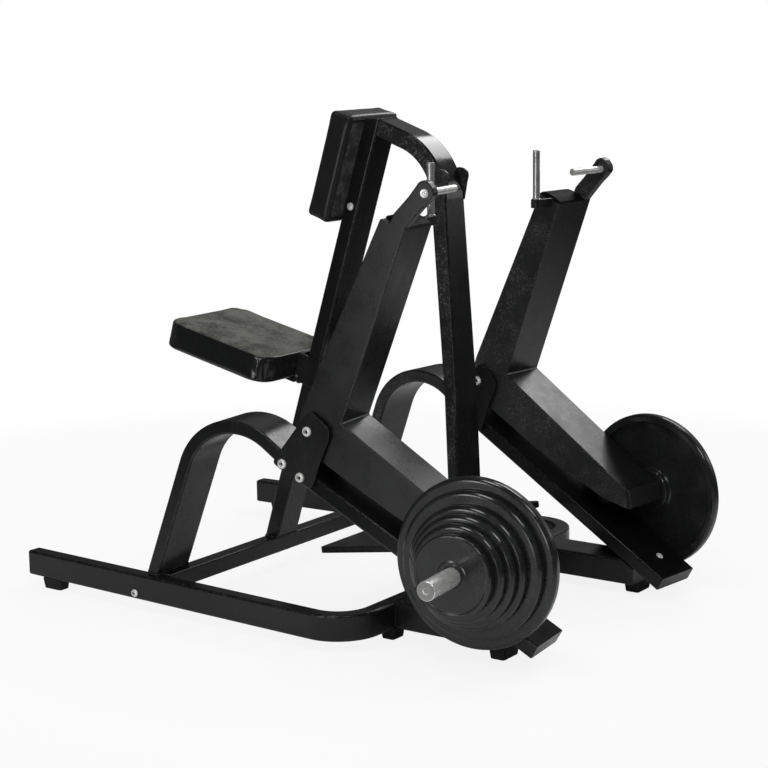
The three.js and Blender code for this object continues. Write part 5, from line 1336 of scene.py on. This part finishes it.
# The seat's carriage
CARRIAGE_LEVEL, CARRIAGE_ENDS = 632, (-45, 40)
CARRIAGE_OUTER = [[-53.1, -54.6], [30, -54.6], [30, 54.6], [-53.1, 54.6]]
CARRIAGE_INNER = [[-47.1, -48.6], [0.6, -48.6], [0.6, -42], [24, -42], [24, 42], [0.6, 42],
                  [0.6, 48.6], [-47.1, 48.6]]
SEAT_TILT, SEAT_CENTRE = 0.2308, np.array([AXLE_X - 1092, 722.0])
SEAT_ARM_TOP, SEAT_ARM_UNDER, SEAT_ARM_HALF = 86.6, 98.6, 20
SEAT_ARM_BACK, SEAT_ARM_FRONT, SEAT_ARM_NOSE = -150, 199, 4
STRUT = [(-66, 27.5), (-12, 27.5), (-12, 39), (-66, 39)]
LATCH_PIN, LATCH_ROD = (-30, 18), rod_profile(3.9, -56, 61.5)
LATCH_NOSE_HALF, LATCH_LEVER_SIDES = 6, (55.1, 61.1)
LATCH_NOSE = [(-6, 10.5), (-6, 14.5), (-22, 22), (-38, 22), (-38, 14), (-30, 10.5)]
LATCH_LEVER = [(-24, 12), (-24, 24), (-100, 21), (-100, 15)]
seat_along = np.array([math.cos(SEAT_TILT), -math.sin(SEAT_TILT)])
seat_up = np.array([math.sin(SEAT_TILT), math.cos(SEAT_TILT)])


def seat_place(depth):
    """Turns (along the seat, across, up from depth under its top) into the machine frame."""
    def place(p):
        """The seat's centre plus the runs along it and up from it."""
        run, rise = p[:, 0], p[:, 2] - depth
        return np.stack([SEAT_CENTRE[0] + seat_along[0] * run + seat_up[0] * rise, p[:, 1],
                         SEAT_CENTRE[1] + seat_along[1] * run + seat_up[1] * rise], 1)
    return place


def build_carriage():
    """A sleeve on the post with a channel for the rack, the flat arm under the seat, the strut
    between them, and the latch: a nose behind the rack and a lever on one cross pin."""
    at = on_post(CARRIAGE_LEVEL)
    seat = lambda run, down: SEAT_CENTRE + seat_along * run - seat_up * down
    sleeve = slab(rounded(CARRIAGE_OUTER, 7)[0], *CARRIAGE_ENDS, edge=1.4,
                  place=on_post_plane(CARRIAGE_LEVEL), holes=[rounded(CARRIAGE_INNER, 2)[0]])
    outline = [seat(SEAT_ARM_BACK, SEAT_ARM_TOP), seat(SEAT_ARM_FRONT, SEAT_ARM_TOP),
               seat(SEAT_ARM_FRONT + SEAT_ARM_NOSE, SEAT_ARM_UNDER),
               seat(SEAT_ARM_BACK, SEAT_ARM_UNDER - SEAT_ARM_NOSE)]
    arm, strut = (slab(points, -SEAT_ARM_HALF, SEAT_ARM_HALF, edge=1.6, place=flat_in_middle, corner=3)
                  for points in (outline, [at(*spot) for spot in STRUT]))
    welds = []
    for y in (-20.5, 20.5):
        line = [at(run, 30.4) for run in (-44, -14)]
        welds.append(bead([[x, y, z] for x, z in line], radius=2.2, seed=y))
    make("seat_slider", [sleeve, arm, strut, *welds], BLACK, "seat", ["seat_carriage"])

    nose, lever = [at(*spot) for spot in LATCH_NOSE], [at(*spot) for spot in LATCH_LEVER]
    x, z = at(*LATCH_PIN)
    shells = [slab(nose, -LATCH_NOSE_HALF, LATCH_NOSE_HALF, edge=0.8, place=flat_in_middle, corner=2.2),
              slab(lever, *LATCH_LEVER_SIDES, edge=1.2, place=flat_in_middle, corner=[5, 5, 2.5, 2.5]),
              turned(LATCH_ROD, (x, 0, z), (0, 1, 0), segments=32, radius=0.6)]
    make("seat_latch_lever", shells, CUT_STEEL, "latch", ["seat_latch"])


# The upholstery
VOXEL, PRESSURE, CLOTH_QUALITY, CLOTH_FRAMES = 0.005, 4, 5, 20
SHRINK, SHRINK_UP, HELD_BELOW = 700, 0.6, 0.004
WAIST, CUSHION_POINTS = 1.2, 220
SEAM_WIDTH, SEAM_DEPTH, TUCK_WIDTH, TUCK_HEIGHT, PANEL_EDGE = 0.0022, 0.0018, 0.004, 0.0004, 0.0025
SEAT_SIZES = {"half_length": 199, "half_width": 175, "thick": 82.7, "corner": 55, "crown": 3, "edge": 6}
PAD_SIZES = {"half_length": 159, "half_width": 121, "thick": 73, "corner": 12, "crown": 3, "edge": 7}
SEAT_DEPTH, BOARD_TOP, SCREW_DEPTH = 85.7, 74.3, 98.6
PAD_LEVEL, PAD_GAP = 1218, 0.6
# Boards and the cloth: half length, half width, and from and to through their thickness
SEAT_BOARD, PAD_BOARD, PAD_CLOTH = (180, 156, -12, 0), (148, 110, 0.3, 12.6), (139, 103, 0.06, 0.5)
TOP_FROM, WELT_SHARE, LEVEL_FROM, LEVEL_OVER = 1.2, 0.4, 0.7, 0.2
SEAT_PUFF, PAD_PUFF = 0.004, 0.003


def board_shell(sizes, edge, place, corner):
    """A rectangle round the origin, drawn out through its thickness."""
    length, width, low, high = sizes
    outline = [[-length, -width], [length, -width], [length, width], [-length, width]]
    return slab(outline, low, high, edge, place, corner)


def cushion_grid(half_length, half_width, thick, corner, crown, edge):
    """A crowned block on z = 0: rounded rectangles stacked by rings. The sides draw in by a
    little at mid height, the rims are quarter rounds, and the top rises with the sine of the
    share of the way in from the rim."""
    quarter = np.linspace(0, math.pi / 2, 6)
    inside = half_width - edge
    rows = [(min(half_width * 0.9, edge + inside * t), 0.0) for t in np.linspace(0.9, 0.1, 6)]
    rows += [(edge * (1 - math.sin(q)), edge * (1 - math.cos(q))) for q in quarter]
    rows += [(WAIST * math.sin(t * math.pi), edge + (thick - 2 * edge) * t)
             for t in np.linspace(0.12, 0.88, 9)]
    rows += [(edge * (1 - math.cos(q)), thick - edge * (1 - math.sin(q))) for q in quarter]
    rows += [(edge + inside * t, thick + crown * math.sin(t * math.pi / 2))
             for t in np.linspace(0.06, 0.9, 16)]
    base = rounded([[half_length, half_width], [-half_length, half_width],
                    [-half_length, -half_width], [half_length, -half_width]], corner, 10)[0]
    step = np.linalg.norm(np.diff(np.vstack([base, base[:1]]), axis=0), axis=1)
    span = np.concatenate([[0], np.cumsum(step)])
    mark = np.linspace(0, span[-1], CUSHION_POINTS, endpoint=False)
    loop = np.stack([np.interp(mark, span, np.append(base[:, k], base[0, k])) for k in range(2)], 1)
    rings = []
    for inset, height in rows:
        share = np.array([(half_length - inset) / half_length, (half_width - inset) / half_width])
        rings.append(np.column_stack([loop * share, np.full(CUSHION_POINTS, height)]))
    return loft(np.stack(rings), 0.0)


def vectors(values, key):
    """One vector of three numbers for each of a mesh's points."""
    out = np.zeros(len(values) * 3)
    values.foreach_get(key, out)
    return out.reshape(-1, 3)


def applied(obj):
    """The object's mesh with its modifiers worked into it."""
    graph = bpy.context.evaluated_depsgraph_get()
    mesh = bpy.data.meshes.new_from_object(obj.evaluated_get(graph))
    obj.modifiers.clear()
    obj.data = mesh
    return mesh


def puffed(mesh, cap):
    """The shape that a filling gives: remeshed evenly and blown up as cloth, its lower face held. A
    point's way is capped: cap times the hyperbolic tangent of way over cap."""
    rig = bpy.data.objects.new("blown", mesh)
    scene.collection.objects.link(rig)
    remesh = rig.modifiers.new("remesh", "REMESH")
    remesh.mode, remesh.voxel_size = "VOXEL", VOXEL
    even = applied(rig)
    rest = vectors(even.vertices, "co")
    group = rig.vertex_groups.new(name="held")
    group.add(np.nonzero(rest[:, 2] < HELD_BELOW)[0].tolist(), 1.0, "REPLACE")
    cloth = rig.modifiers.new("cloth", "CLOTH")
    cloth.settings.use_pressure = True
    cloth.settings.uniform_pressure_force = PRESSURE
    cloth.settings.vertex_group_mass = "held"
    cloth.settings.effector_weights.gravity = 0
    cloth.settings.quality = CLOTH_QUALITY
    cloth.point_cache.frame_start, cloth.point_cache.frame_end = 1, CLOTH_FRAMES
    for number in range(1, CLOTH_FRAMES + 1):
        scene.frame_set(number)
    graph = bpy.context.evaluated_depsgraph_get()
    way = vectors(rig.evaluated_get(graph).data.vertices, "co") - rest
    size = np.linalg.norm(way, axis=1, keepdims=True)
    way *= cap * np.tanh(size / cap) / np.maximum(size, 1e-9)
    even.vertices.foreach_set("co", (rest + way).reshape(-1))
    bpy.data.objects.remove(rig)
    scene.frame_set(1)
    return even


def upholstered(name, sizes, cap, look, body, node, place, rim):
    """A cushion: its grid, blown up and smoothed, then kept inside its box. The seam is pressed
    in by a bell curve of the distance from a line that lies rim inside the outline, and a low
    welt rises outside it. The panel attribute is one inside the line on the level top."""
    half_length, half_width, thick, corner, crown, edge = sizes.values()
    shrink = cap * SHRINK
    shell = cushion_grid(half_length - shrink, half_width - shrink, thick - shrink * SHRINK_UP,
                         corner, crown, edge)
    mesh = bpy.data.meshes.new(name)
    mesh.from_pydata((shell["points"] * MM).tolist(), [], shell["quads"].tolist() + shell["flats"])
    bm = bmesh.new()
    bm.from_mesh(mesh)
    bmesh.ops.recalc_face_normals(bm, faces=bm.faces)
    bm.to_mesh(mesh)
    bm.free()
    obj = bpy.data.objects.new(name, puffed(mesh, cap))
    scene.collection.objects.link(obj)
    ease = obj.modifiers.new("ease", "SMOOTH")
    ease.factor, ease.iterations = 0.5, 5
    subdivide = obj.modifiers.new("subdivide", "SUBSURF")
    subdivide.levels = subdivide.render_levels = 1
    fine = applied(obj)
    co = vectors(fine.vertices, "co")
    limit = np.array([half_length, half_width, thick + crown]) * MM
    co[:, :2] = np.clip(co[:, :2], -limit[:2], limit[:2])
    co[:, 2] = np.clip(co[:, 2], 0, limit[2])
    past = np.abs(co[:, :2]) - (limit[:2] - corner * MM)
    outside = np.hypot(*np.maximum(past, 0).T) + np.minimum(past.max(1), 0)
    inward = corner * MM - outside
    high = co[:, 2] > (thick - edge * TOP_FROM) * MM
    co[:, 2] -= np.exp(-(((inward - rim * MM) / SEAM_WIDTH) ** 2)) * high * SEAM_DEPTH
    co[:, 2] += np.exp(-(((inward - rim * MM * WELT_SHARE) / TUCK_WIDTH) ** 2)) * high * TUCK_HEIGHT
    upward = vectors(fine.vertex_normals, "vector")[:, 2]
    level = np.clip((upward - LEVEL_FROM) / LEVEL_OVER, 0, 1)
    panel = np.clip((inward - rim * MM) / PANEL_EDGE + 0.5, 0, 1) * level
    fine.vertices.foreach_set("co", place(co / MM).reshape(-1) * MM)
    attribute = fine.attributes.new("panel", "FLOAT", "POINT")
    attribute.data.foreach_set("value", panel.astype(np.float32))
    fine.polygons.foreach_set("use_smooth", np.ones(len(fine.polygons), bool))
    fine.materials.clear()
    fine.materials.append(look)
    fine.update()
    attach(obj, body)
    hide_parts(node)


def build_upholstery():
    """The seat and the chest pad, each with its board, and the screws and cloth on these."""
    upholstered("seat_upholstery", SEAT_SIZES, SEAT_PUFF, SEAT_VINYL, "seat", "seat_cushion",
                seat_place(SEAT_DEPTH), rim=13.0)
    board = board_shell(SEAT_BOARD, edge=0.8, place=seat_place(BOARD_TOP), corner=38)
    make("seat_base_board", [board], PLASTIC, "seat", ["seat_board"])
    spots = []
    for x in (-110, -30):
        for y in (-12, 12):
            point = seat_place(SCREW_DEPTH)(np.array([[x, y, 0.0]]))[0]
            spots.append((point, (-seat_up[0], 0, -seat_up[1])))
    make_screws("seat_screws", spots, reach=6, height=3.2, body="seat")

    def pad_place(back):
        """The post's plane, with the first and the third run changed over."""
        on_back = on_post_plane(PAD_LEVEL, back)
        return lambda p: on_back(p[:, [2, 1, 0]])

    upholstered("chest_upholstery", PAD_SIZES, PAD_PUFF, PAD_VINYL, "frame", "chest_pad",
                pad_place(PAD_GAP), rim=6.0)
    board = board_shell(PAD_BOARD, edge=0.4, place=pad_place(0), corner=8)
    make("chest_backing_board", [board], PAD_VINYL, "frame", ["chest_board"])
    cloth = board_shell(PAD_CLOTH, edge=0.1, place=pad_place(0), corner=8)
    make("chest_backing_cloth", [cloth], BACKING, "frame", ())


# The studio: floor's painted light pool and fade are (distance from, distance to, value from, value to)
FLOOR_REACH, FLOOR_POINTS = 16.0, 96
FLOOR_LIGHT_POOL = (1.3, 2.6, 0.85, 0.07)
FLOOR_FADE = (1.0, 3.0, 0.86, 1.0)
ROOM_LEVEL = 0.55
BACKDROP_AIM = (0.05, 0.75, 0.66)
BACKDROP_GRADE = (0.6, 1.0, 0.045, 0.35)

# Lamps: name, place, the point that it is aimed at, width, height and power
LAMPS = [
    ("box_behind", (0.3, 3.8, 3.9), (0.1, 0.0, 0.5), 2.3, 1.3, 62),
    ("box_behind_low", (2.9, 4.0, 1.6), (0.1, 0.0, 0.6), 0.9, 1.2, 5),
    ("box_overhead", (0.2, -1.9, 4.1), (0.2, -0.3, 0.3), 1.1, 1.0, 26),
    ("box_right", (3.2, -2.5, 3.5), (0.3, -0.2, 0.4), 1.2, 1.0, 24),
    ("strip_left", (-0.1, -2.75, 0.62), (-0.25, -0.3, 0.62), 0.3, 1.2, 8),
    ("strip_right", (0.85, -2.5, 0.62), (-0.1, -0.3, 0.62), 0.16, 1.2, 5),
]


class StudioNodes(Nodes):
    """An emptied tree with the kinds of ray, for the floor and the backdrop."""

    def __init__(self, tree):
        """The tree, emptied, and the light path that tells the rays apart."""
        super().__init__(tree)
        tree.nodes.clear()
        self.rays = self.add("ShaderNodeLightPath").outputs

    def measured(self, operation, where, other=None):
        """The length of the coordinates, or their dot product with another vector."""
        node = self.add("ShaderNodeVectorMath", operation=operation)
        self.put(self.add("ShaderNodeTexCoord").outputs[where], node.inputs[0])
        if other is not None:
            node.inputs[1].default_value = other
        return node.outputs["Value"]

    def light(self, kind, strength):
        """Plain white light of one strength."""
        node = self.add(kind)
        self.put((1, 1, 1), node.inputs["Color"])
        self.put(strength, node.inputs["Strength"])
        return node.outputs[0]

    def blend(self, share, a, b):
        """The surface a with a share of the surface b."""
        node = self.add("ShaderNodeMixShader")
        for socket, value in zip(node.inputs, (share, a, b)):
            self.put(value, socket)
        return node.outputs[0]


def build_floor():
    """A disc of paper, pale near the machine and darker further out: a painted pool of light in its
    colour. The camera alone sees it fade into the white backdrop instead."""
    angle = np.arange(FLOOR_POINTS) / FLOOR_POINTS * 2 * math.pi
    rim = np.column_stack([FLOOR_REACH * np.cos(angle), FLOOR_REACH * np.sin(angle), 0 * angle])
    mesh = bpy.data.meshes.new("floor")
    mesh.from_pydata(rim.tolist(), [], [list(range(FLOOR_POINTS))])
    floor = bpy.data.objects.new("floor", mesh)
    scene.collection.objects.link(floor)
    floor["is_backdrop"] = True
    paper = bpy.data.materials.new("floor_paper")
    paper.use_nodes = True
    nodes = StudioNodes(paper.node_tree)
    away = nodes.measured("LENGTH", "Object")
    matt = nodes.add("ShaderNodeBsdfDiffuse")
    # The paper's colour is a painted pool of light, pale near the machine
    nodes.put(nodes.ramp(away, *FLOOR_LIGHT_POOL), matt.inputs["Color"])
    share = nodes.times(nodes.rays["Is Camera Ray"], nodes.ramp(away, *FLOOR_FADE))
    surface = nodes.blend(share, matt.outputs[0], nodes.light("ShaderNodeEmission", 1.0))
    nodes.put(surface, nodes.add("ShaderNodeOutputMaterial").inputs["Surface"])
    mesh.materials.append(paper)


def build_backdrop():
    """The world: white for the camera, brighter toward BACKDROP_AIM for mirrored and refracted
    rays, and ROOM_LEVEL for all others."""
    world = bpy.data.worlds.new("studio")
    scene.world = world
    world.use_nodes = True
    nodes = StudioNodes(world.node_tree)
    toward = nodes.measured("DOT_PRODUCT", "Generated", BACKDROP_AIM)
    mirrored = nodes.light("ShaderNodeBackground", nodes.ramp(toward, *BACKDROP_GRADE, smooth=True))
    reflected = nodes.joined("MAXIMUM", nodes.rays["Is Glossy Ray"], nodes.rays["Is Transmission Ray"])
    room = nodes.blend(reflected, nodes.light("ShaderNodeBackground", ROOM_LEVEL), mirrored)
    seen = nodes.light("ShaderNodeBackground", 1.0)
    surface = nodes.blend(nodes.rays["Is Camera Ray"], room, seen)
    nodes.put(surface, nodes.add("ShaderNodeOutputWorld").inputs["Surface"])


def build_lamps():
    """Two soft boxes behind, one overhead, one at the right, and two strips low in front."""
    for name, place, target, wide, tall, power in LAMPS:
        data = bpy.data.lights.new(name, "AREA")
        data.shape, data.size, data.size_y, data.energy = "RECTANGLE", wide, tall, power
        lamp = bpy.data.objects.new(name, data)
        lamp.location = place
        lamp.rotation_euler = (Vector(target) - Vector(place)).to_track_quat("-Z", "Y").to_euler()
        scene.collection.objects.link(lamp)


build_base()
build_rail_caps()
build_crossbar()
build_feet()
build_middle()
build_foot_plate()
build_carriage()
build_upholstery()
for chosen in SIDES:
    build_side(chosen)
    build_arm(chosen)
build_floor()
build_backdrop()
build_lamps()
scene.view_settings.view_transform = "Standard"

visual_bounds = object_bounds()
plain = lambda bounds: [[float(v) for v in corner] for corner in bounds]
{"cad": plain(cad_bounds), "visual": plain(visual_bounds)}
